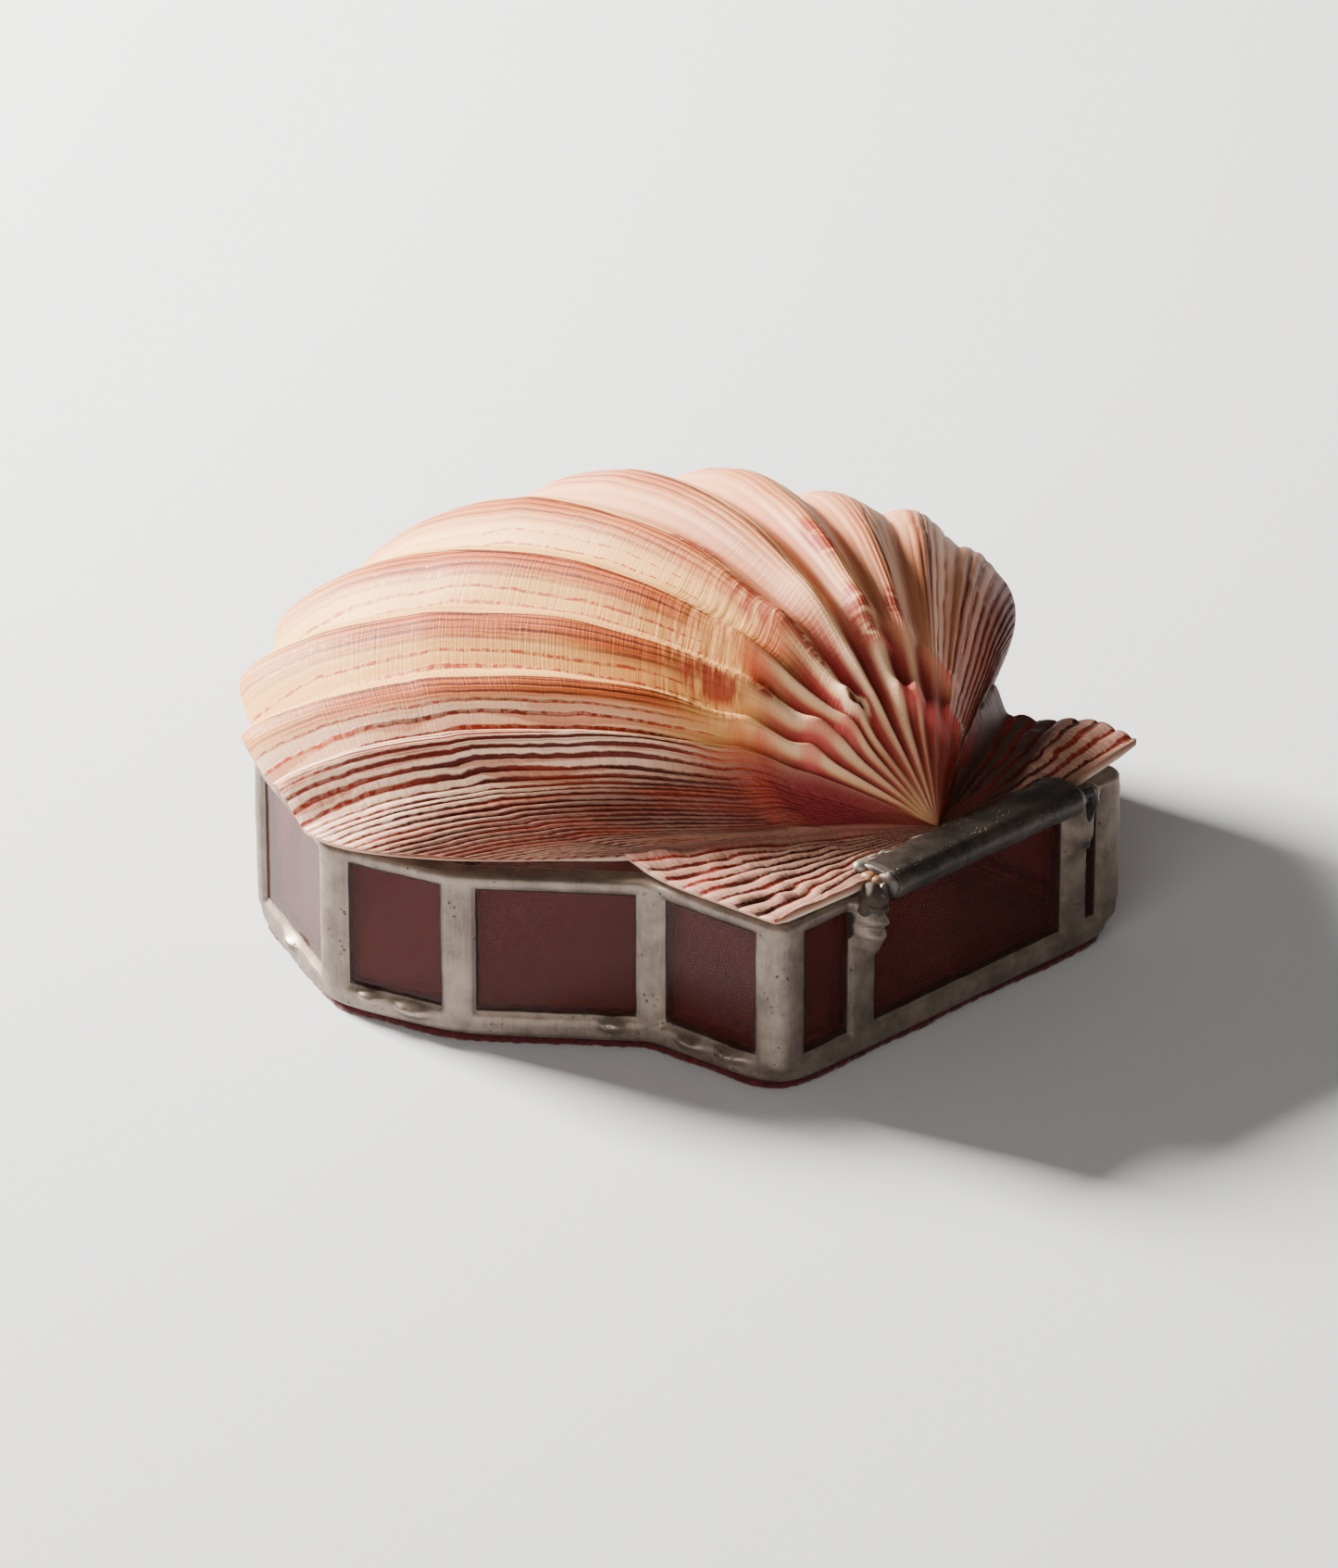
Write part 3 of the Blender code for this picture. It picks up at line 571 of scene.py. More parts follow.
def outline_columns():
    """The outline's points where the grid has its columns, and each one's cord number.

    The cords lie ten to a rib, closer on its crest and fewer on the outer ribs, or one to each
    pitch where that is closer. The columns are spread by cords, with more for a broad cord.
    """
    near, near_parts = side_outline(NEAR)
    far, far_parts = side_outline(FAR)
    hinge = places_of(np.linspace(-HALF_HINGE, HALF_HINGE, EAR_STEPS)[1:-1], 0.0)
    loop = np.concatenate([near, front_at(NEAR, np.zeros(1)), far[::-1], hinge])
    part = np.concatenate([near_parts, [ON_FRONT], far_parts[::-1], np.full(len(hinge), ON_HINGE)])
    arms = loop - UMBO
    number = rib_number(np.arctan2(arms[:, 0], -arms[:, 1]))
    step = steps_round(loop)
    turned = np.abs(np.roll(number, -1) - number)
    on_near, on_far = [np.array(values)[:, None] for values in (NEAR_FEWER, FAR_FEWER)]
    most, start, end = np.where(number > 0, on_near, on_far)
    fewer = rise(np.abs(number), start, end)
    on_rib = (CORDS_PER_RIB + CORDS_MORE_ON_CREST * np.cos(2 * math.pi * number)) * turned
    on_rib = on_rib * (1 - most * fewer)
    pitch = np.where(loop[:, 0] > 0, FLANK_PITCH, FAR_FLANK_PITCH)
    in_front = np.where(np.abs(number) < PITCH_FROM_RIB, on_rib, np.maximum(on_rib, step / pitch))
    cords = np.choose(part, [step / EAR_PITCH, step / pitch, in_front, 0 * step])
    per_cord = COLUMNS_PER_RIB_CORD + COLUMNS_MORE_WHERE_FEWER * fewer
    columns = cords * np.choose(part, [COLUMNS_PER_EAR_CORD, COLUMNS_PER_FLANK_CORD, per_cord, 0.0])
    columns[part == ON_HINGE] = HINGE_COLUMNS / len(hinge)
    run = summed(columns)
    count = int(run[-1])
    wanted = np.arange(count) * run[-1] / count
    return points_at(loop, run, wanted), np.interp(wanted, run, summed(cords))


def dome(angles, out):
    """The dome's height: an arc along each ray, from 0 at the umbo to its top and 0 at the edge."""
    height = 0.0
    for side in (NEAR, FAR):
        off = np.clip(side.sign * (angles - DOME_TOP_ANGLE) / side.spread, 0, 1)
        top = NEAR.top + (side.top - NEAR.top) * off
        back = (1 - ((top - out) / top) ** 2).clip(0) ** BACK_STEEPNESS
        ahead = (1 - ((out - top) / (1 - top)) ** 2).clip(0) ** FRONT_STEEPNESS
        mine = (angles - DOME_TOP_ANGLE) * side.sign > 0
        height = height + mine * (1 - off**side.roundness) * np.where(out < top, back, ahead)
    return DOME_HEIGHT * height


def wandering(number, out):
    """The rib number with its small wander: ribs twist near the umbo and waver a little further out."""
    stray = lumps(places_of(1.3 * number, 9.0 * out), 1.0, 7)
    return number + stray * (0.03 + 0.10 * (1 - rise(out, 0.18, 0.4)))


def rib_wave(number, out):
    """The ribs across the shell, 1 on a crest and 0 in a furrow, and how strong they are.

    They fade out on the flanks. Towards the edge the crests grow broad and the furrows narrow.
    """
    end = np.where(number > 0, NEAR.ribs_end, FAR.ribs_end)
    over = np.where(number > 0, NEAR.rib_fade, FAR.rib_fade)
    fade = np.clip((end - np.abs(number)) / over, 0, 1)
    wave = 0.5 + 0.5 * np.cos(2 * math.pi * number)
    return wave ** (1 - 0.45 * rise(out, 0.3, 0.7)) * fade, fade


def knob_shares(arms, number, x, y):
    """How much of each knob there is at each place: a round hump that fades with distance."""
    shares = []
    for knob in KNOBS:
        spot = UMBO + knob.out * arms[np.argmin(np.abs(number - knob.rib))]
        shares.append(bell(x, spot[0], knob.radius) * bell(y, spot[1], knob.radius))
    return shares


def knob_height(shares):
    """The knobs' height: each hump, with a narrow hole down the one that is broken open."""
    humps = [share - HOLE_DEPTH * knob.hollow * share**6 for knob, share in zip(KNOBS, shares)]
    return sum(knob.height * hump for knob, hump in zip(KNOBS, humps))


def flank_lift(shares, out):
    """How far the flanks rise near the ears. A share is an angle over its notch's angle."""
    near = NEAR_FLANK_LIFT * bell(shares, NEAR_LIFT_PLACE, NEAR_LIFT_BREADTH) * out**3
    far = swell(-shares, FAR_LIFT_START, FAR_LIFT_FULL, 1, FAR_LIFT_END)
    return near + FAR_FLANK_LIFT * far * out**2.5


def ear_curl(x, y):
    """How far the ears' hinge corners curl up, starting beyond the sleeve's ends."""
    sideways = np.clip((np.abs(x) - SLEEVE_REACH) / (HALF_HINGE - SLEEVE_REACH), 0, 1)
    near, far = [side.curl * np.clip(2 + 3 * y / side.ear, 0, 1) for side in (NEAR, FAR)]
    return np.where(x > 0, near, far) * sideways


def row_shares():
    """How far out each row of the outer skin lies: closely spaced inside the ledge."""
    fine = FINE_SHARE * np.arange(1, FINE_ROWS + 1) / FINE_ROWS
    coarse = FINE_SHARE + (1 - FINE_SHARE) * np.arange(1, COARSE_ROWS + 1) / COARSE_ROWS
    return np.concatenate([fine, coarse])[:, None]


# What both skins share at a grid of places: the plan, the rib number, 1 on a rib's crest, 1 on the
# disc and 0 on an ear, how far ears and flanks are raised, the knobs' shares and the height
Skin = namedtuple("Skin", "x y number crest disc raised knobs height")


def skin_at(loop, out):
    """The shell's smooth form over the loop's columns, at shares of the way out from the umbo."""
    arms = loop - UMBO
    angles = np.arctan2(arms[:, 0], -arms[:, 1])
    notches = [math.atan2(side.notch, side.ear + UMBO[1]) for side in (NEAR, FAR)]
    shares = angles / np.where(angles > 0, *notches)
    disc = np.clip(0.5 + (1 - np.abs(shares)) / (2 * EAR_BLEND), 0, 1)
    number = wandering(rib_number(angles), out)
    wave, fade = rib_wave(number, out)
    reach = out - SCALLOP * (fade - wave) * rise(out, 0.8, 1.0) * disc
    x = UMBO[0] + reach * arms[:, 0]
    y = UMBO[1] + reach * arms[:, 1]
    raised = ear_curl(x, y) + flank_lift(shares, out)
    thick = EAR_THICKNESS + (SHELL_EDGE - EAR_THICKNESS) * disc * out**2
    height = LID_BOTTOM + thick + raised + dome(angles, out)
    height = height + RIB_HEIGHT * wave * out**RIB_GROWTH
    height = height + LEDGE_HEIGHT * disc * bell(out, LEDGE_PLACE, LEDGE_BREADTH)
    knobs = knob_shares(arms, rib_number(angles), x, y)
    height = height + knob_height(knobs)
    furrow = INNER_FURROW * (1 - wave) * swell(out, 0.04, 0.12, 0.35, 0.85)
    height = height - furrow * disc * rise(height - LID_BOTTOM, 2.5 * MM, 5 * MM)
    return Skin(x, y, number, wave, disc, raised, knobs, height)


def cord_relief(cord, skin, out):
    """Grooves between round cords, cut into the skin: a half circle's profile across each cord."""
    across = 2 * (cord % 1) - 1
    groove = 1 - np.sqrt((1 - across**2).clip(0))
    flank_share = rise(np.abs(skin.number), 3.7, 4.6)
    depth = CORD_DEPTH_ON_RIBS + (CORD_DEPTH_ON_FLANKS - CORD_DEPTH_ON_RIBS) * flank_share
    depth = depth + (CORD_DEPTH_ON_EARS - depth) * (1 - skin.disc)
    return groove * depth * rise(out, 0.03, 0.4)


def growth_relief(skin, out):
    """Steps where growth paused, each a drop that wanders a little, and broad uneven swells."""
    at = out + 0.012 * lumps(places_of(3 * skin.number, 2 * out), 1.0, 3)
    half = PAUSE_BREADTH / 2
    steps = sum(drop * rise(at, place - half, place + half) for place, drop in GROWTH_PAUSES)
    spots = places_of(skin.x, skin.y)
    uneven = SWELL * (1 + lumps(spots, 9 * MM, 5))
    knobbly = KNOBBLE_HEIGHT * lumps(places_of(2.6 * skin.number, 26 * out), 1.0, 6)
    knobbly = knobbly * bell(out, LEDGE_PLACE, 0.06) * skin.disc
    beads = EAR_BEAD_HEIGHT * lumps(spots, 2.4 * MM, 9) * (1 - skin.disc) * rise(out, 0.15, 0.4)
    return (steps + uneven) * skin.disc * rise(out, 0.05, 0.3) + knobbly + beads


def rib_choice(number, values):
    """A value for each rib, held from just before its crest to just before the next one's."""
    rib = np.floor(number + 0.1)
    return sum(value * (rib == k) for k, value in values.items())


def shell_tints(skin, out):
    """The shell's soft colours over a grid, and how strong each of its patterns is.

    Each rib is brown-orange along its crest and cream beside it, the ring inside the ledge is rose
    in its furrows, and the ledge carries orange patches. The ears and flanks are striped. Painted
    shade darkens the near flank by its notch, the far flank, the far-side furrows and the ears beside
    the disc, and a painted shadow lies over the far ear's part nearer the disc.
    """
    x, y, number, crest, disc = skin[:5]
    furrow = 1 - crest
    patch = lumps(places_of(x, y), 3.2 * MM, 11)
    broad = lumps(places_of(x, y), 14 * MM, 12)
    past_crest = number - np.floor(number + 0.1)
    crest_band = swell(past_crest, -0.1, -0.04, 0.14, 0.34)
    near_flank = rise(number, 3.75, 4.3)
    far_flank = rise(-number, 4.6, 5.6)
    inner_ring = (1 - rise(out, 0.20, 0.29)) * disc
    ledge = bell(out, 0.262, 0.04) * disc
    middle = rise(out, 0.27, 0.42) * (1 - 0.5 * rise(out, 0.8, 1.0))
    at_umbo = (1 - rise(out, 0.04, 0.16)) * disc
    broken = skin.knobs[BROKEN]
    layers = (
        ((236, 178, 140), 0.8 * rise(-number, -0.6, 0.6)),
        ((190, 98, 46), rib_choice(number, CREST_WARMTH) * crest_band * middle + 0.08 * broad),
        ((244, 208, 180), 0.95 * rise(number, 3.14, 3.32) * rise(out, 0.3, 0.5)),
        ((246, 206, 180), 0.95 * near_flank * rise(out, 0.2, 0.5)),
        # painted shade: the near flank darkens towards its notch, as if in the dome's shadow
        ((116, 70, 64), 0.9 * near_flank * rise(number + 2.5 * (1 - out), 5.0, 6.4)),
        # the far flank's mauve-grey is partly its own colour and partly painted shade
        ((160, 124, 122), 0.9 * far_flank),
        # painted shade: darker still towards the far notch
        ((82, 54, 54), 0.9 * rise(-number, 5.2, 6.2)),
        ((206, 82, 44), 0.85 * ledge * rise(patch, -0.3, 0.4) * rise(number, -1.2, 1.2)),
        # painted shade in the furrows of the far-side ribs, brown-pink
        ((194, 112, 88), 0.8 * rise(-number, -0.4, 0.8) * furrow * (1 - 0.5 * rise(out, 0.5, 0.8))),
        ((234, 194, 162), 0.95 * inner_ring * crest),
        ((166, 44, 54), 0.95 * inner_ring * rise(furrow, 0.25, 0.75) * rise(out, 0.02, 0.07)),
        ((120, 34, 42), 0.95 * rise(number, 3.3, 4.2) * (1 - rise(out, 0.18, 0.50)) * disc),
        # painted shade: deep brown in the far-side furrows inside the ledge
        ((112, 44, 34), 0.8 * inner_ring * rise(-number, 0.3, 1.2) * furrow),
        ((148, 78, 60), at_umbo * (0.6 + 0.3 * patch)),
        ((214, 96, 92), 0.6 * rise(np.clip(sum(skin.knobs), 0, 1), 0.3, 0.9)),
        ((244, 204, 170), rise(broken, 0.40, 0.55)),
        ((110, 36, 24), rise(broken, 0.70, 0.84)),
    )
    tint = np.broadcast_to(srgb(238, 186, 112), (*number.shape, 3))
    for colour, weight in layers:
        tint = lay(tint, srgb(*colour), weight)

    ear = 1 - disc
    beside_disc = ear * bell(disc, 0.5, 0.5)
    ear_tint = np.broadcast_to(srgb(238, 196, 172), tint.shape)
    # painted shade: the ears' first cords beside the disc are darker, as if shaded by the dome
    ear_tint = lay(ear_tint, srgb(150, 104, 96), rise(beside_disc, 0.1, 0.5))
    # painted shadow of the dome over the far ear's part nearer the disc, with a sharp edge; the part by the
    # hinge edge and the tip stay light
    painted_shadow_on_far_ear = 1 - rise(y - 0.46 * x, 1.7 * MM, 3.7 * MM)
    far_tint_with_painted_shadow = lay(ear_tint, srgb(78, 52, 50), painted_shadow_on_far_ear)
    tint = lay(tint, np.where((x < 0)[..., None], far_tint_with_painted_shadow, ear_tint), ear)

    along = rise(out, 0.28, 0.44) * (1 - 0.5 * rise(out, 0.78, 1.0))
    between = swell(past_crest, 0.24, 0.34, 0.82, 0.9)
    outer_rib = rise(number, 3.14, 3.3) * (0.7 + 0.3 * rise(number, 3.3, 3.6))
    stripe = np.maximum.reduce([
        0.48 * between * along * rise(number, -0.2, 1.2), outer_rib * along,
        0.86 * near_flank * rise(out, 0.20, 0.36), 0.75 * far_flank,
    ])
    flank_wash = 0.7 * rise(number, 3.0, 3.5) * (1 - 0.6 * rise(number, 4.6, 6)) * rise(out, 0.22, 0.36)
    fleck = sum(bell(number, rib, wide) * bell(out, place, far) for rib, place, wide, far in BLOTCHES)
    hatch = swell(out, 0.25, 0.29, 0.36, 0.47)
    return tint, {
        # the ears' dark lines grow wider beside the disc: painted shade
        "stripe": stripe * disc + ear * (0.72 + 0.28 * rise(beside_disc, 0.2, 0.6)),
        "wash": np.maximum(crest_band * along * 0.5, flank_wash) * disc,
        "fleck": fleck * disc,
        "hatch": hatch * swell(number, -1.0, 1.0, 2.8, 3.5) * disc,
        "crest": rib_choice(number, CREST_LINES) * crest_band * along * disc,
        "beaded": np.maximum(ear, near_flank),
    }


def shell_lid(material):
    """The shell: a fine outer skin and a smooth inner skin that meet at the edge."""
    loop, cord = outline_columns()
    out = row_shares()
    skin = skin_at(loop, out)
    cord = cord + 0.10 * lumps(places_of(0.4 * cord, 12 * out), 1.0, 8) + 0.18 * rise(out, 0.715, 0.732)
    carved = skin.height - cord_relief(cord, skin, out) - growth_relief(skin, out)
    carved = np.clip(carved, LID_BOTTOM + LEAST_THICKNESS + skin.raised, LID_TOP)
    outer = places_of(skin.x, skin.y + HINGE_Y, carved)

    in_out = (np.arange(INNER_ROWS, 0, -1)[:, None] / INNER_ROWS) ** 1.1
    inside = skin_at(loop, in_out)
    near_edge = np.clip(1 + (in_out - 1) / EDGE_BAND, 0, 1)
    wall = SHELL_WALL + (SHELL_EDGE - SHELL_WALL) * near_edge
    level = np.maximum(inside.height - wall, LID_BOTTOM + inside.raised)
    inner = places_of(inside.x, inside.y + HINGE_Y, level)
    umbo = [UMBO[0], UMBO[1] + HINGE_Y]
    above = [*umbo, LID_BOTTOM + EAR_THICKNESS]
    points, faces = closed_skin(np.concatenate([outer, inner]), above, [*umbo, LID_BOTTOM])

    tint, shares = shell_tints(skin, out)
    blush = lumps(places_of(inside.x, inside.y), 16 * MM, 21) * 0.5 + 0.5
    lining = np.broadcast_to(srgb(232, 222, 206), inner.shape)
    lining = lay(lining, srgb(206, 158, 138), 0.55 * blush * rise(in_out, 0.0, 0.3))
    lining = lay(lining, srgb(150, 96, 70), 0.6 * rise(in_out, 0.93, 1.0))
    poles = [srgb(150, 92, 60), lining[-1, 0]]
    colour = np.concatenate([tint.reshape(-1, 3), lining.reshape(-1, 3), poles])

    def both(on_outer, on_inner):
        """Values over the outer and the inner skin, and at the points that close them."""
        on_outer = np.broadcast_to(on_outer, cord.shape).ravel()
        on_inner = np.broadcast_to(on_inner, level.shape).ravel()
        return np.concatenate([on_outer, on_inner, [on_outer[0], on_inner[-1]]])

    attributes = {
        "tint": np.concatenate([colour, np.ones((len(colour), 1))], axis=1),
        "cord": both(cord, 0.0),
        "rib": both(skin.number, 0.0),
        "out": both(out, in_out),
        "outside": both(1.0, 0.0),
    }
    attributes.update({key: both(share, 0.0) for key, share in shares.items()})
    piece = add_mesh("shell", points, faces, material, "lid", attributes)
    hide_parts("shell_lid")


def shell_finish():
    """Satin shell: cream with maroon lines in its grooves, brick washes and flecks, fine growth lines."""
    material, wire, shader = new_finish(
        "satin_shell", IOR=1.5, Specular_IOR_Level=0.22, Coat_Roughness=0.22, Subsurface_Weight=0.10,
        Subsurface_Scale=0.0012, Subsurface_Radius=(1.0, 0.45, 0.28),
    )
    names = ("cord", "out", "rib", "stripe", "crest", "outside", "wash", "hatch", "fleck", "beaded")
    cord, out, rib, stripe, crest, outside, wash, hatch, fleck, beaded = map(wire.attribute, names)

    def grain(across, along, apart=0.0, detail=1.0):
        """Noise scaled across the cords and along them, each kept apart from the others."""
        return wire.grain(wire.place(cord * across, out * along, apart), 1.0, detail)

    waver = grain(0.4, 40.0, detail=2.0)
    dashes = grain(1.7, 90.0, detail=3.0)
    phase = (cord + (waver - 0.5) * 0.30).part()
    across = abs(phase - 0.5) * 2.0
    width = stripe * (0.34 + grain(0.55, 5.0, detail=2.0).rise(0.3, 0.68) * 0.40) + 0.04
    line = across.rise(1.0 - width, 1.0 - width * 0.5) * stripe.rise(0.02, 0.16)
    line = line * (1.0 - (1.0 - stripe) * dashes.rise(0.42, 0.56))
    deep = wire.blend(grain(0.31, 3.0, 7.0).rise(0.35, 0.62), srgb(138, 36, 20), srgb(70, 12, 12))
    line_colour = wire.blend(stripe.rise(0.5, 0.75), srgb(186, 78, 50), deep)
    reach = grain(0.37, 4.0, 3.0).rise(0.36, 0.66) * 0.8
    band = (phase + grain(2.1, 420.0) * 0.2).rise(1.08 - reach, 1.16 - reach) * wash
    hatching = grain(0.5, 190.0, 2.0, 2.0).rise(0.5, 0.62)

    strength = 0.5 + grain(0.9, 7.0, 4.0).rise(0.30, 0.58) * 0.5
    fainter = grain(0.8, 9.0, 8.0).rise(0.42, 0.66)
    lower_line = (1.0 - across).rise(0.76, 0.9) * fainter * 0.5
    fine_line = (across.rise(0.56, 0.76) * strength + lower_line) * crest
    upper = abs((rib + 0.09 + (waver - 0.5) * 0.02).part() - 0.04)
    upper_line = (1.0 - upper.rise(0.008, 0.022)) * crest.rise(0.05, 0.4) * strength
    fleck_grain = wire.grain(wire.place(rib * 2.0, out * 80.0, 3.0), 1.0, 3.0)
    colour = wire.layered(wire.attribute("tint", "Color"), (
        (band * 0.8, srgb(176, 66, 24)),
        (hatching * hatch * 0.55, srgb(208, 106, 58)),
        (line, line_colour),
        (fine_line * 0.95, srgb(92, 20, 15)),
        (upper_line * 0.9, srgb(84, 18, 16)),
        (fleck_grain.rise(0.34, 0.52) * fleck.rise(0.15, 0.6) * 0.85, srgb(150, 38, 34)),
    ))
    growth = grain(0.25, 330.0, 5.0, 2.0)
    shade = 0.88 + growth * 0.24
    grey = wire.node("CombineColor", {}, {0: shade, 1: shade, 2: shade})
    colour = wire.blend(1.0, colour, grey, "MULTIPLY")
    beads = grain(1.0, 60.0, 9.0)
    ridges = grain(0.12, 75.0, 6.0) * hatch
    relief = growth * 0.5 * outside + beads * beaded * 1.8 - line * 0.5 + dashes * 0.3 * stripe
    relief = relief + ridges * 2.0 - fine_line * 0.4
    glint = dashes.rise(0.58, 0.68) * crest.rise(0.1, 0.4)
    normal = wire.bump(relief, 0.7, 0.00024)
    feed(shader, Base_Color=colour, Roughness=0.46 + growth * 0.14, Coat_Weight=glint * 0.15, Normal=normal)
    return material


# The box's plan, as the solid has it, in the frame

def box_plan():
    """The corners of the box's outer face, clockwise from the hinge wall's near corner."""
    halves = []
    for side, (notch_post, shoulder_out) in ((NEAR, NEAR_POSTS), (FAR, FAR_POSTS)):
        shoulder = flank(side, [0.52]) + np.array([0.5, 0.9]) * shoulder_out
        front = front_at(side, FRONT_CORNERS)
        front = front - FRONT_OVERHANG * (front - UMBO) / np.linalg.norm(front - UMBO, axis=1)[:, None]
        hinge_corner = [HALF_HINGE - OVERHANG, 0.0]
        notch = [side.notch + 0.5 * OVERHANG, -notch_post]
        widest = [side.wide - 0.2 * OVERHANG, -WIDEST_FROM_HINGE]
        corners = np.concatenate([[hinge_corner, notch], shoulder, [widest], front])
        halves.append(corners * np.array([side.sign, 1]))
    return np.concatenate([halves[0], halves[1][::-1]]) + np.array([0.0, HINGE_Y])


PLAN = box_plan()

# How each corner of the plan turns, and half the width of its post on either side
WALL_LENGTHS = steps_round(PLAN)
AHEAD = (np.roll(PLAN, -1, axis=0) - PLAN) / WALL_LENGTHS[:, None]
BEFORE = np.roll(AHEAD, 1, axis=0)
TURNS = np.arctan2(
    BEFORE[:, 1] * AHEAD[:, 0] - BEFORE[:, 0] * AHEAD[:, 1], (BEFORE * AHEAD).sum(axis=1)
)
TANGENT = np.tan(TURNS / 2)
POST_SIDES = np.maximum(POST_TURN * TANGENT, 0) + HALF_POST


# The solder cage: columns run round the plan and rows run round the wall's section

def window_edges(wall):
    """Where the windows of a wall begin and end, measured from the wall's first corner."""
    edges = [POST_SIDES[wall], WALL_LENGTHS[wall] - POST_SIDES[(wall + 1) % len(PLAN)]]
    if wall == len(PLAN) - 1:
        half = HINGE_POST_WIDTH / 2
        edges[1:1] = [x - PLAN[wall][0] + side * half for x in sorted(HINGE_POSTS) for side in (-1, 1)]
    return edges


def column_ring(depth, rounding):
    """The columns in plan at a depth inside the outer face: an arc at each corner, then a straight run.

    A run is split at its windows' edges, which lie straight behind each other at every depth. The
    second result says which columns have a window between them and the next.
    """
    corner_at = inset_loop(PLAN, depth)
    room = POST_SIDES - np.maximum(depth * TANGENT, 0)
    least = LEAST_ROUNDING * rounding / CORNER_ROUNDING
    reach = np.minimum(np.maximum(rounding * np.abs(TANGENT), least), 0.8 * room)
    first = depth * TANGENT + reach
    outer_reach = np.maximum(CORNER_ROUNDING * np.abs(TANGENT), LEAST_ROUNDING)
    outer_first = np.minimum(outer_reach, 0.8 * POST_SIDES)
    spots, opens = [], []
    for wall, corner in enumerate(corner_at):
        after = (wall + 1) % len(PLAN)
        arc = [corner - BEFORE[wall] * reach[wall], corner, corner + AHEAD[wall] * reach[wall]]
        spots.append(bezier(arc, np.linspace(0, 1, ARC_STEPS)))
        opens += [False] * ARC_STEPS
        inward = np.array([AHEAD[wall][1], -AHEAD[wall][0]])
        edges = window_edges(wall)
        knots = [first[wall], *edges, WALL_LENGTHS[wall] - first[after]]
        outer_knots = [outer_first[wall], *edges, WALL_LENGTHS[wall] - outer_first[after]]
        for i in range(len(knots) - 1):
            step = PANE_STEP if i % 2 else POST_STEP
            steps = max(2, round((outer_knots[i + 1] - outer_knots[i]) / step))
            run = np.linspace(knots[i], knots[i + 1], steps + 1)[1:, None]
            last = i == len(knots) - 2
            run = run[:-1] if last else run
            spots.append(PLAN[wall] + inward * depth + AHEAD[wall] * run)
            opens += [i % 2 == 1] * (steps - 1) + ([] if last else [i % 2 == 0])
    return np.concatenate(spots), np.array(opens)


def round_off(distance, radius):
    """How far a quarter-round edge falls back, at a distance from the edge."""
    share = np.clip(1 - distance / radius, 0, 1)
    return radius * (1 - np.sqrt(1 - share**2))


def softened(ring):
    """The box's foot in plan: each point moved to its neighbours' mean by a bell, never outwards."""
    step = steps_round(ring)
    run = summed(step)
    gap = np.abs(run[:-1, None] - run[None, :-1])
    weight = bell(np.minimum(gap, run[-1] - gap), 0, FOOT_SMOOTHING) * step
    mean = (weight @ ring) / weight.sum(axis=1)[:, None]
    centre = ring.mean(axis=0)
    outwards = np.linalg.norm(mean - centre, axis=1) > np.linalg.norm(ring - centre, axis=1)
    return np.where(outwards[:, None], ring, mean)


def seam_levels():
    """The rows' heights up the outer face, and which two of them are the windows' bottom and top."""
    quarter = np.linspace(0, math.pi / 2, ROUNDING_ROWS)
    foot = FRAME_BOTTOM + BOTTOM_ROUNDING * (1 - np.cos(quarter))
    head = RIM_HEIGHT - TOP_ROUNDING * (1 - np.cos(quarter[::-1]))
    low_band = np.linspace(foot[-1], WINDOW_LOW, LOW_BAND_ROWS)[1:]
    window = np.linspace(WINDOW_LOW, WINDOW_HIGH, WINDOW_ROWS + 1)[1:]
    high_band = np.linspace(WINDOW_HIGH, head[0], HIGH_BAND_ROWS)[1:-1]
    levels = np.concatenate([foot, low_band, window, high_band, head])
    low = len(foot) + len(low_band) - 1
    return levels, low, low + WINDOW_ROWS


def tear_blob(x, z):
    """The solder over the wire's near end: a tear, narrow below, broad and folded at its top."""
    share = (z - TEAR_FOOT) / (RIM_HEIGHT - TEAR_FOOT)
    half = (1.0 + 1.8 * rise(share, 0, 0.7)) * MM
    sideways = x - HINGE_POSTS[0]
    across = np.sqrt((1 - (sideways / half) ** 2).clip(0))
    folds = 1 + 0.2 * rise(share, 0.4, 0.6) * np.sin(2 * math.pi * (z - 0.3 * sideways) / (2.1 * MM))
    return TEAR_HEIGHT * across * rise(share, 0, 0.55) * folds * (1 - 0.4 * rise(share, 0.92, 1.0))


def lobed_blob(x, z):
    """The solder over the wire's far end: smooth, with two lobes at its top."""
    share = (z - LOBED_FOOT) / (RIM_HEIGHT - LOBED_FOOT)
    sideways = x - HINGE_POSTS[1]
    lobes = 0.9 * MM * rise(share, 0.6, 0.9) * np.sign(sideways)
    half = (1.6 + 0.5 * rise(share, 0, 0.5)) * MM
    across = np.sqrt((1 - ((sideways - lobes) / half) ** 2).clip(0))
    return LOBED_HEIGHT * across * rise(share, 0, 0.5) * (1 - 0.35 * rise(share, 0.93, 1.0))


def fold_height(x, y, z):
    """How far the folded runs stand out: each a low oval hump with a flat top."""
    total = 0.0
    for wall, share, height, half in FOLDS:
        spot = PLAN[wall] + AHEAD[wall] * WALL_LENGTHS[wall] * share
        away = ((x - spot[0]) ** 2 + (y - spot[1]) ** 2) / half**2 + ((z - height) / FOLD_BREADTH) ** 2
        total = total + FOLD_HEIGHT * np.exp(-(away**2))
    return total


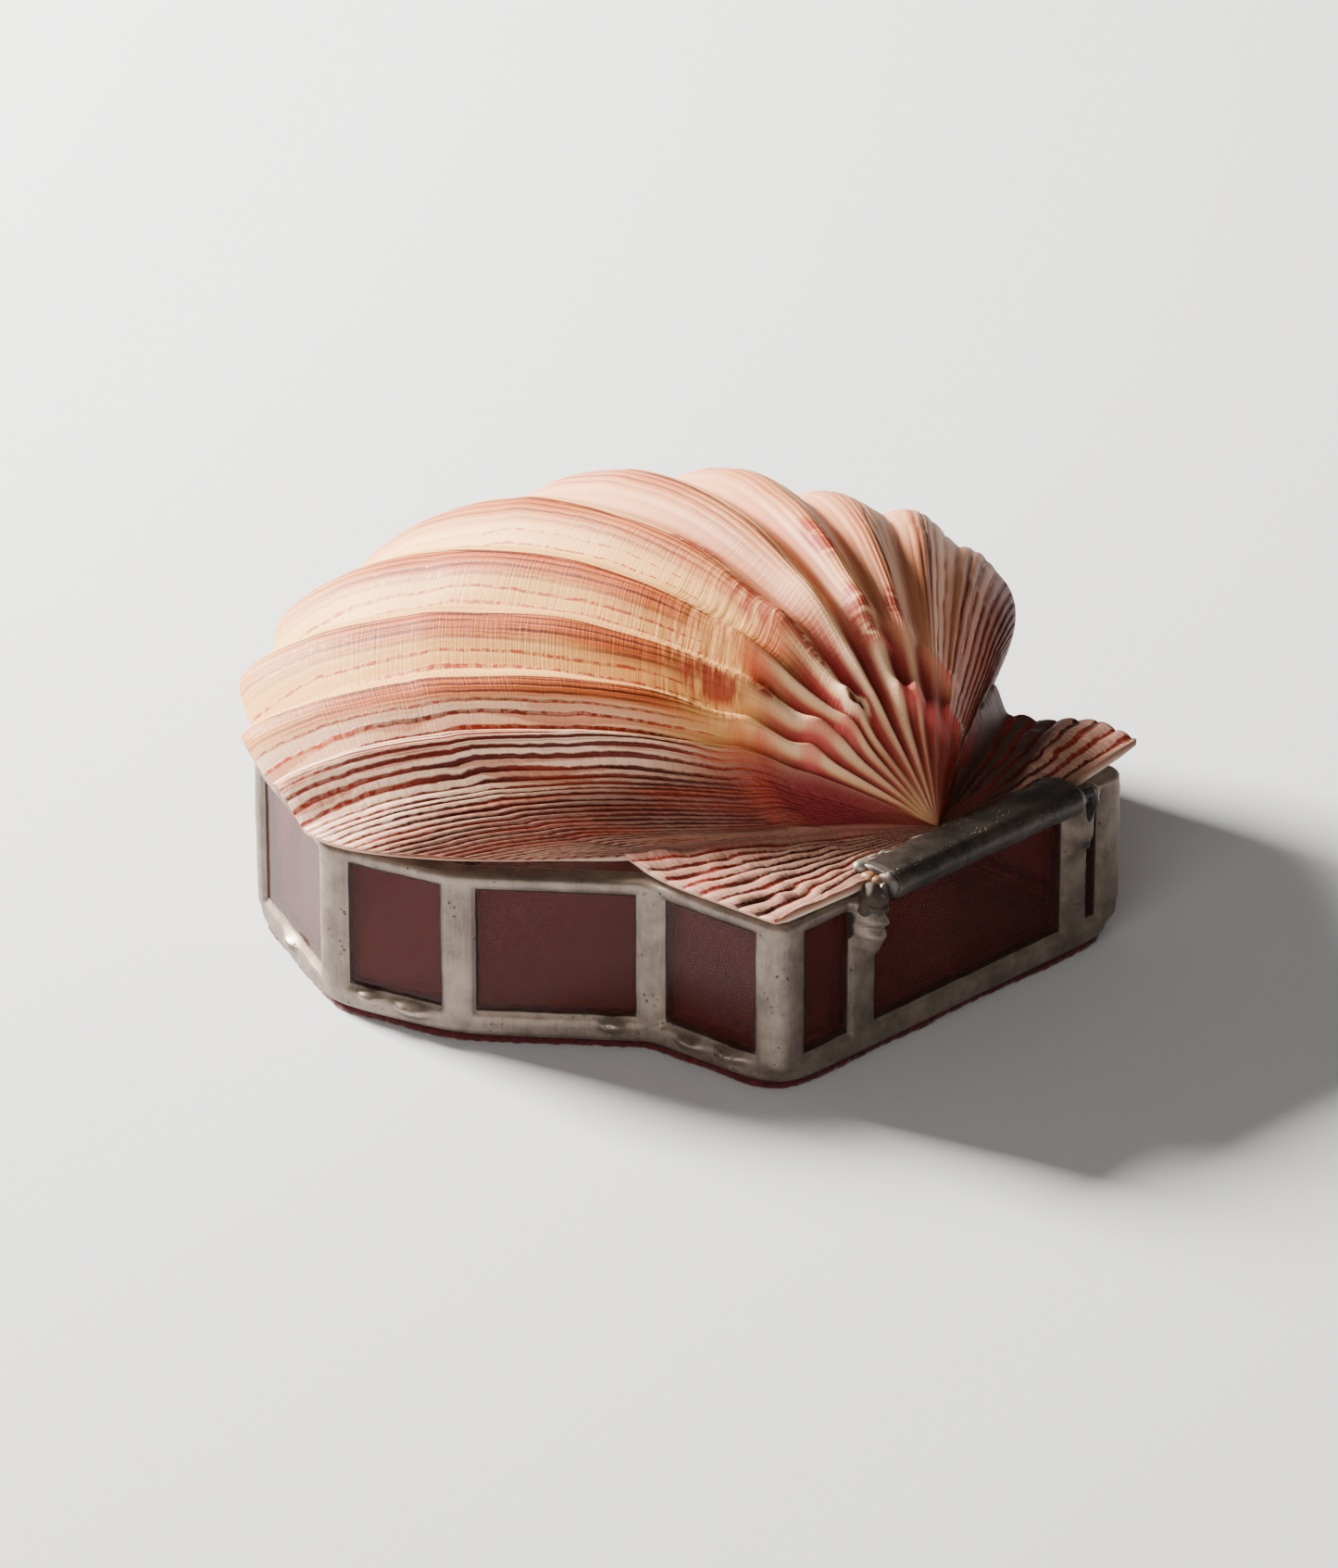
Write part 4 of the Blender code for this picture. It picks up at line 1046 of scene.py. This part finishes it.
def lumpy_ball(centre, radii, seed, roughness):
    """A closed ball with lumps, about a centre in metres: rows of four-sided faces from pole to pole."""
    rows, columns = 14, 20
    lean = np.linspace(0, math.pi, rows + 2)[1:-1, None]
    turn = np.linspace(0, 2 * math.pi, columns, endpoint=False)
    unit = places_of(np.sin(lean) * np.cos(turn), np.sin(lean) * np.sin(turn), np.cos(lean))
    unit = np.concatenate([unit.reshape(-1, 3), [[0, 0, 1], [0, 0, -1]]])
    reach = unit * np.array(radii) * MM
    points = centre + reach * (1 + roughness * lumps(reach + centre, 1.3 * MM, seed))[:, None]
    faces = [grid_faces(rows, columns)]
    here = np.arange(0, columns, 2)
    for pole, first in ((rows * columns, 0), (rows * columns + 1, (rows - 1) * columns)):
        fan = [np.full(len(here), pole), first + here, first + here + 1, first + (here + 2) % columns]
        faces.append(np.stack(fan, axis=1))
    return points, np.concatenate(faces)


def with_balls(points, faces, balls, seeds, roughness):
    """Points and faces with lumpy balls added, and which ball each point is of, -1 for none.

    A ball has a place to measure from, then in mm how far off it lies, and its radii.
    """
    points, faces, owner = [points], [faces], [np.full(len(points), -1)]
    for number, ((place, moved, radii), seed) in enumerate(zip(balls, seeds)):
        spots, quads = lumpy_ball(np.array(place) + np.array(moved) * MM, radii, seed, roughness)
        faces.append(quads + sum(len(part) for part in points))
        points.append(spots)
        owner.append(np.full(len(spots), number))
    return [np.concatenate(parts) for parts in (points, faces, owner)]


def outer_depths(ring, opens, height):
    """How deep the outer face lies behind the plan, at rows of heights over a ring of columns.

    It is domed between the windows, rounded off at its foot and its rim, and uneven. The blobs and
    the folded runs stand out. The second result is the dome alone.
    """
    run = summed(steps_round(ring))
    edge = opens != np.roll(opens, 1)
    gap = np.abs(run[:-1, None] - run[:-1][edge][None])
    sideways = np.minimum(gap, run[-1] - gap).min(axis=1) * ~(opens & np.roll(opens, 1))
    upright = np.maximum(height - WINDOW_HIGH, 0) + np.maximum(WINDOW_LOW - height, 0)
    from_window = np.hypot(sideways, upright)
    dome = round_off(from_window, SEAM_SHOULDER) * SEAM_DROP / SEAM_SHOULDER
    trim = round_off(height - FRAME_BOTTOM, BOTTOM_ROUNDING) + round_off(RIM_HEIGHT - height, TOP_ROUNDING)
    x, y = ring.T
    spots = places_of(x, y, height)
    lump = 0.14 * MM * lumps(spots, 4.2 * MM, 31) + 0.08 * MM * lumps(spots, 1.7 * MM, 32) + 0.1 * MM
    lump = lump * rise(from_window, 0, 0.8 * MM) * rise(height - FRAME_BOTTOM, 0, 1.5 * MM)
    on_hinge_wall = rise(y, HINGE_Y - 0.3 * MM, HINGE_Y - 0.1 * MM)
    proud = on_hinge_wall * (tear_blob(x, height) + lobed_blob(x, height)) + fold_height(x, y, height)
    proud = proud * rise(RIM_HEIGHT - height, -0.1 * MM, 0.3 * MM)
    return np.maximum(dome + trim + lump, 0) - proud, dome


def window_border(across, low, high):
    """The columns and rows of the points round a window: along its foot, up, back and down."""
    up = np.arange(low, high + 1)
    upright, down = np.full(len(up) - 1, across[-1]), np.full(len(up) - 2, across[0])
    columns = np.concatenate([across, upright, across[-2::-1], down])
    top = np.full(len(across) - 1, high)
    return columns, np.concatenate([np.full(len(across), low), up[1:], top, up[-2:0:-1]])


def solder_cage(material):
    """The seams in one piece: rounded bands and domed posts round every window, inside and out.

    A row's depth is measured in from the plan, and grows towards a window's edge. Each window's
    edge runs on as a thin wavy strip of foil over the glass, and then through to the inner face.
    Along a window's foot the strip is almost twice as wide, and the extra width is painted shade.
    """
    outer_ring, opens = column_ring(0.0, CORNER_ROUNDING)
    inner_ring, _ = column_ring(FRAME_WALL, INNER_ROUNDING)
    ledge_ring, _ = column_ring(FRAME_WALL + BASE_LEDGE, LEDGE_ROUNDING)
    levels, low, high = seam_levels()
    columns = len(outer_ring)
    outer_rows = len(levels)

    def plan_at(depth, column=slice(None)):
        """Points in plan at a depth, on the line through a column's rings."""
        depth = np.asarray(depth)[..., None]
        near = outer_ring[column] + (inner_ring - outer_ring)[column] * depth / FRAME_WALL
        deep = inner_ring[column] + (ledge_ring - inner_ring)[column] * (depth - FRAME_WALL) / BASE_LEDGE
        return np.where(depth <= FRAME_WALL, near, deep)

    outer_depth, dome = outer_depths(outer_ring, opens, levels[:, None])
    inner_levels = levels[low:][::-1]
    inner_trim = round_off(RIM_HEIGHT - inner_levels[:, None], INNER_ROUNDING)
    inner_depth = FRAME_WALL - dome[low:][::-1] * INNER_DOME - inner_trim
    over_rim = np.linspace(0, 1, RIM_ROWS)[1:-1, None]
    rim_depth = outer_depth[-1] + (inner_depth[0] - outer_depth[-1]) * over_rim
    step_top = FRAME_BOTTOM + FOOT_STEP
    ledge_depth = FRAME_WALL + 0.95 * BASE_LEDGE
    below = (
        (FRAME_WALL, WINDOW_LOW - 0.02 * MM), (FRAME_WALL + 0.6 * BEAD, WINDOW_LOW - 0.04 * MM),
        (FRAME_WALL + BEAD, FLOOR_TOP - 0.05 * MM), (FRAME_WALL + 0.15 * MM, FLOOR_TOP - 0.3 * MM),
        (FRAME_WALL + 0.15 * MM, step_top), (ledge_depth, step_top),
        (ledge_depth, FRAME_BOTTOM), (0.8 * FRAME_WALL, FRAME_BOTTOM),
    )
    below_depth, below_height = np.array(below).T
    below_depth = np.repeat(below_depth[:, None], columns, axis=1)
    depth = np.concatenate([outer_depth, rim_depth, inner_depth, below_depth])
    heights = np.concatenate([levels, np.full(len(rim_depth), RIM_HEIGHT), inner_levels, below_height])
    rows = len(depth)
    at_foot = 1 - rise(heights, FRAME_BOTTOM + 0.8 * MM, WINDOW_LOW - 0.3 * MM)
    at_foot[outer_rows + len(rim_depth) :] = 0
    plan = plan_at(depth) + at_foot[:, None, None] * (softened(outer_ring) - outer_ring)
    points = [places_of(plan[..., 0], plan[..., 1], heights[:, None]).reshape(-1, 3)]
    foil = [np.zeros(rows * columns)]

    inner_row = outer_rows + len(rim_depth) + (outer_rows - 1) - np.arange(outer_rows)
    row = np.arange(rows)[:, None]
    beside_window = (row >= low) & (row < high) | (row >= inner_row[high]) & (row < inner_row[low])
    row, column = np.nonzero(~(beside_window & opens))
    next_row, next_column = (row + 1) % rows, (column + 1) % columns
    corners = ((row, column), (next_row, column), (next_row, next_column), (row, next_column))
    faces = [np.stack([r * columns + c for r, c in corners], axis=1)]
    first = rows * columns
    for start in np.flatnonzero(opens & ~np.roll(opens, 1)):
        stop = start + np.argmin(np.roll(opens, -start))
        across = np.arange(start, stop + 1) % columns
        at_column, at_row = window_border(across, low, high)
        direction = outer_ring[across[-1]] - outer_ring[across[0]]
        direction = direction / np.linalg.norm(direction)
        pull_side = 1.0 * (at_column == across[0]) - 1.0 * (at_column == across[-1])
        pull_up = 1.0 * (at_row == low) - 1.0 * (at_row == high)
        level = levels[at_row]
        wavy = 1 + 0.4 * lumps(np.column_stack([outer_ring[at_column], level]), 2.2 * MM, 33)
        # the strip is almost twice as wide along a window's foot: the extra is painted shade
        pull = FOIL_WIDTH * wavy * (1 + 0.9 * (pull_up > 0))
        rings = [at_row * columns + at_column]
        pulled = direction * (pull_side * pull)[:, None]
        for ring_depth in (FOIL_DEPTH, FRAME_WALL - FOIL_DEPTH):
            spots = plan_at(np.full(len(level), ring_depth), at_column) + pulled
            points.append(np.column_stack([spots, level + pull_up * pull]))
            foil.append(np.ones(len(level)))
            rings.append(first + np.arange(len(level)))
            first += len(level)
        rings.append(inner_row[at_row] * columns + at_column)
        for one, other in zip(rings, rings[1:]):
            faces.append(np.stack([one, np.roll(one, -1), np.roll(other, -1), other], axis=1))
    balls = [((HINGE_POSTS[post], HINGE_Y, 0), moved, radii) for post, moved, radii, _ in BEND_LUMPS]
    points, faces, foil = [np.concatenate(parts) for parts in (points, faces, foil)]
    points, faces, ball = with_balls(points, faces, balls, BEND_SEEDS, BEND_ROUGHNESS)
    crust = np.append([lump[-1] for lump in BEND_LUMPS], 0.0)[ball]
    foil = np.pad(foil, (0, len(points) - len(foil)))
    used, faces = np.unique(faces, return_inverse=True)
    points, foil, crust = points[used], foil[used], crust[used]
    from_joint = points - np.array([HINGE_POSTS[0], HINGE_Y + CRUST_OUT, RIM_HEIGHT])
    by_joint = bell(from_joint, 0, CRUST_REACH).prod(axis=1)
    attributes = {
        "foil": foil,
        "crust": np.maximum(by_joint, crust),
        "fold": fold_height(*points.T) / FOLD_HEIGHT,
    }
    piece = add_mesh("solder_seams", points, faces.reshape(-1, 4), material, "box", attributes)
    point_outwards(piece.data)
    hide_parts("solder_frame")


def solder_finish(name, tone, dark, rough_low, rough_high):
    """Dull brushed tin-lead: cloudy tone, fine brush marks along Z and small dark pits."""
    material, wire, shader = new_finish(name, IOR=1.6)
    spot = wire.spot()
    cloud = wire.grain(spot, 210.0, 5.0, 0.65)
    stain = wire.grain(spot, 70.0, 3.0)
    brush = wire.grain(wire.stretch(spot, 1.0, 1.0, 0.16), 2300.0, 3.0, 0.7)
    pit_size = wire.node("TexVoronoi", {"feature": "F1"}, {"Vector": spot, "Scale": 1150.0})
    pits = (1.0 - pit_size.rise(0.12, 0.30)) * wire.grain(spot, 300.0, 2.0).rise(0.52, 0.66)
    foil, crust, torn, resin, fold = map(wire.attribute, ("foil", "crust", "torn", "resin", "fold"))
    colour = wire.layered(wire.blend(cloud.rise(0.3, 0.7), dark, tone), (
        (stain.rise(0.48, 0.72) * 0.5, dark * 0.62),
        (brush.rise(0.4, 0.7) * 0.22, np.minimum(tone * 1.3, 1)),
        (pits * 0.85, srgb(40, 33, 30)),
        # dark foil strips, widened along the windows' feet as painted shade
        (foil.rise(0.1, 0.5) * 0.9, srgb(30, 20, 17)),
        (crust.rise(0.3, 0.7) * 0.95, srgb(40, 26, 18)),
        # torn metal, made near white and less metallic: partly wear, partly a painted highlight
        (torn * 0.9, srgb(206, 200, 190)),
        (resin, wire.blend(cloud.rise(0.4, 0.6), srgb(92, 52, 22), srgb(168, 112, 56))),
    ))
    crusted = crust.rise(0.2, 0.6)
    rough = (rough_low + (rough_high - rough_low) * cloud + pits * 0.2) * (1.0 - fold * 0.45)
    metal = (0.70 - pits * 0.5 - crusted * 0.55 - torn * 0.3).rise(0.0, 1.0) * (1.0 - resin)
    normal = wire.bump(cloud * 0.8 + brush * 0.12 - pits * 1.2, 0.6, 0.00018)
    feed(shader, Base_Color=colour, Roughness=rough + crusted * 0.25, Metallic=metal, Normal=normal)
    return material


def glass_finish():
    """Clear plum glass, faintly cloudy in its tint, with fine smears in its gloss."""
    material, wire, shader = new_finish("plum_glass", IOR=1.22, Transmission_Weight=0.94, Alpha=0.85)
    spot = wire.spot()
    smear = wire.grain(wire.stretch(spot, 1.0, 1.0, 3.0), 180.0, 3.0, 0.6)
    tint = wire.blend(wire.grain(spot, 70.0, 2.0), srgb(180, 98, 96), srgb(168, 88, 88))
    feed(shader, Base_Color=tint, Roughness=0.015 + smear.rise(0.55, 0.8) * 0.02)
    return material


def felt_finish():
    """Crimson felt: matted fibres in two directions, with painted shade in the hollows of its bump."""
    material, wire, shader = new_finish("crimson_felt", Sheen_Weight=0.4, Sheen_Roughness=0.4, Roughness=0.95)
    spot = wire.spot()
    fibres = wire.grain(wire.stretch(spot, 1.0, 0.3, 1.0), 2400.0, 4.0, 0.7)
    cross = wire.grain(wire.stretch(spot, 0.3, 1.0, 1.0), 2000.0, 4.0, 0.7)
    mat = fibres * 0.5 + cross * 0.5
    # the fibres' tone follows the bump's height: darker in its hollows, a painted shade
    colour = wire.blend(mat.rise(0.35, 0.65), srgb(36, 4, 12), srgb(92, 12, 30))
    feed(shader, Base_Color=colour, Normal=wire.bump(mat, 0.8, 0.0002))
    return material


def hinge_sleeve(material):
    """The sleeve: a tube on the wire whose hood laps over the shell's hinge edge.

    Its section runs round the tube and out along the hood, carried along the axis with hollows
    and a wandering lip, then back through the bore.
    """
    low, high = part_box("hinge_sleeve")
    radius = high[1] - AXIS[1]
    lip_y = low[1] - AXIS[1]
    under = LID_BOTTOM + EAR_THICKNESS + SHELL_GAP - AXIS[2]
    turn = np.linspace(math.pi, 2.5 * math.pi, TUBE_STEPS)
    tube = radius * places_of(np.cos(turn), np.sin(turn))
    top = (0.5 * lip_y, max(radius, under + SLEEVE_WALL) + 0.1 * radius)
    shoulder = (lip_y, under + SLEEVE_WALL)
    hood = bezier([tube[-1], top, shoulder, (lip_y, under)], np.linspace(0, 1, HOOD_STEPS))[1:]
    below = bezier([(lip_y, under), (-radius, under)], np.linspace(0, 1, UNDER_STEPS))[1:]
    out, up = np.concatenate([tube, hood, below]).T
    around = np.arctan2(up, out)
    along = np.linspace(low[0], high[0], STEPS_ALONG)[:, None]
    spots = places_of(along, out, up)
    dent = 0.16 * MM * (1 + lumps(spots, 6 * MM, 41)) + 0.05 * MM * (1 + lumps(spots, 1.7 * MM, 42))
    is_hood = rise(-out, radius, -lip_y)
    course = places_of(along, 0.0)
    lip = 0.5 * MM * (0.5 + 0.5 * lumps(course, 2.6 * MM, 43)) + 0.3 * MM * lumps(course, 0.7 * MM, 44)
    tuck = 0.4 * MM * (1 - rise(np.minimum(along - low[0], high[0] - along), 0, 1.0 * MM))
    shrink = 1 - (dent + tuck) / np.maximum(np.hypot(out, up), radius)
    y = out * shrink + lip * is_hood
    z = np.maximum(up * shrink, np.where(out < -radius * 0.99, under, -1.0))
    outer = places_of(along, AXIS[1] + y, AXIS[2] + z)
    bore_y, bore_z = SLEEVE_BORE * np.cos(around), SLEEVE_BORE * np.sin(around)
    inner = places_of(along[::-1], AXIS[1] + bore_y, AXIS[2] + bore_z)
    points = np.concatenate([outer, inner]).reshape(-1, 3)
    faces = grid_faces(2 * len(along), len(out), closed_rows=True)
    balls = [((high[0], low[1], LID_BOTTOM), moved, radii) for moved, radii, *_ in SLEEVE_LUMPS]
    points, faces, ball = with_balls(points, faces, balls, SLEEVE_LUMP_SEEDS, SLEEVE_LUMP_ROUGHNESS)
    torn, resin = [np.append([lump[i] for lump in SLEEVE_LUMPS], 0.0)[ball] for i in (2, 3)]
    # the hood's lip is painted bright in patches: torn metal and a painted highlight
    at_lip = rise(is_hood, 0.62, 0.86) * rise(along, -2 * MM, 6 * MM)
    at_lip = at_lip * rise(lumps(spots, 0.9 * MM, 45), 0.0, 0.4)
    torn[: at_lip.size] = at_lip.ravel()
    attributes = {"torn": torn, "resin": resin}
    piece = add_mesh("sleeve", points, faces, material, "lid", attributes)
    point_outwards(piece.data)
    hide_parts("hinge_sleeve")


def felt_pad(material):
    """The felt under the cage: a thin slab whose edge is a little ragged."""
    low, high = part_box("felt_base")
    foot = softened(column_ring(0.0, CORNER_ROUNDING)[0])
    runs = summed(steps_round(foot))
    edge = points_at(foot, runs, np.linspace(0, runs[-1], FELT_COLUMNS, endpoint=False))
    inset, height = np.array(FELT_SECTION).T[..., None]
    spots = places_of(edge[:, 0], edge[:, 1], height * MM)
    ragged = 0.16 * MM * (1 + lumps(spots, 0.7 * MM, 51)) + 0.35 * MM * lumps(spots, 6 * MM, 52)
    centre = PLAN.mean(axis=0)
    arm = (centre - edge) / np.linalg.norm(centre - edge, axis=1)[:, None]
    moved = edge + arm * (inset * MM + ragged)[..., None]
    grid = places_of(moved[..., 0], moved[..., 1], low[2] + height * (high[2] - low[2]))
    points, faces = closed_skin(grid, [*centre, high[2]], [*centre, low[2]])
    piece = add_mesh("felt", points, faces, material, "box")
    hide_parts("felt_base")


def dress_node(name, material):
    """Give a solid that stays its finish."""
    node = NODES[name]
    node.data.materials.clear()
    node.data.materials.append(material)


def add_object(name, data):
    """An object in the scene, for what isn't part of the box."""
    made = bpy.data.objects.new(name, data)
    bpy.context.collection.objects.link(made)
    return made


def studio():
    """A pale floor, one soft key light from the left, a weak fill, and the camera."""
    mesh = bpy.data.meshes.new("floor")
    corners = [(x * HALF_FLOOR, y * HALF_FLOOR, 0) for x, y in ((-1, -1), (1, -1), (1, 1), (-1, 1))]
    mesh.from_pydata(corners, [], [(0, 1, 2, 3)])
    mesh.materials.append(new_finish("pale_floor", Roughness=0.9, Base_Color=(*FLOOR_TONE, 1.0))[0])
    floor = add_object("floor", mesh)

    for name, place, width, power in LAMPS:
        light = bpy.data.lights.new(name, "AREA")
        light.size = width
        light.energy = power
        light.color = LIGHT_TONE
        lamp = add_object(name, light)
        lamp.location = place
        lamp.rotation_euler = (place - LIT_PLACE).to_track_quat("Z", "Y").to_euler()

    world = bpy.data.worlds.new("studio")
    world.use_nodes = True
    sky = world.node_tree.nodes["Background"]
    sky.inputs["Color"].default_value = (*LIGHT_TONE, 1.0)
    sky.inputs["Strength"].default_value = SKY_STRENGTH
    bpy.context.scene.world = world

    lens = bpy.data.cameras.new("view")
    lens.lens = LENS_MM
    lens.sensor_width = SENSOR_MM
    camera = add_object("view", lens)
    level = math.cos(VIEW_HEIGHT)
    back = Vector((level * math.sin(VIEW_AZIMUTH), -level * math.cos(VIEW_AZIMUTH), math.sin(VIEW_HEIGHT)))
    camera.location = AIM + VIEW_DISTANCE * back
    camera.rotation_euler = back.to_track_quat("Z", "Y").to_euler()
    bpy.context.scene.camera = camera


solder = solder_finish("brushed_solder", srgb(138, 125, 116), srgb(104, 93, 86), 0.44, 0.64)
pewter = solder_finish("dark_pewter", srgb(84, 77, 75), srgb(50, 46, 45), 0.36, 0.6)
wine = glass_finish()
studio()
shell_lid(shell_finish())
solder_cage(solder)
hinge_sleeve(pewter)
felt_pad(felt_finish())
dress_node("hinge_rod", pewter)
for name in NODES:
    if "glass" in name:
        dress_node(name, wine)
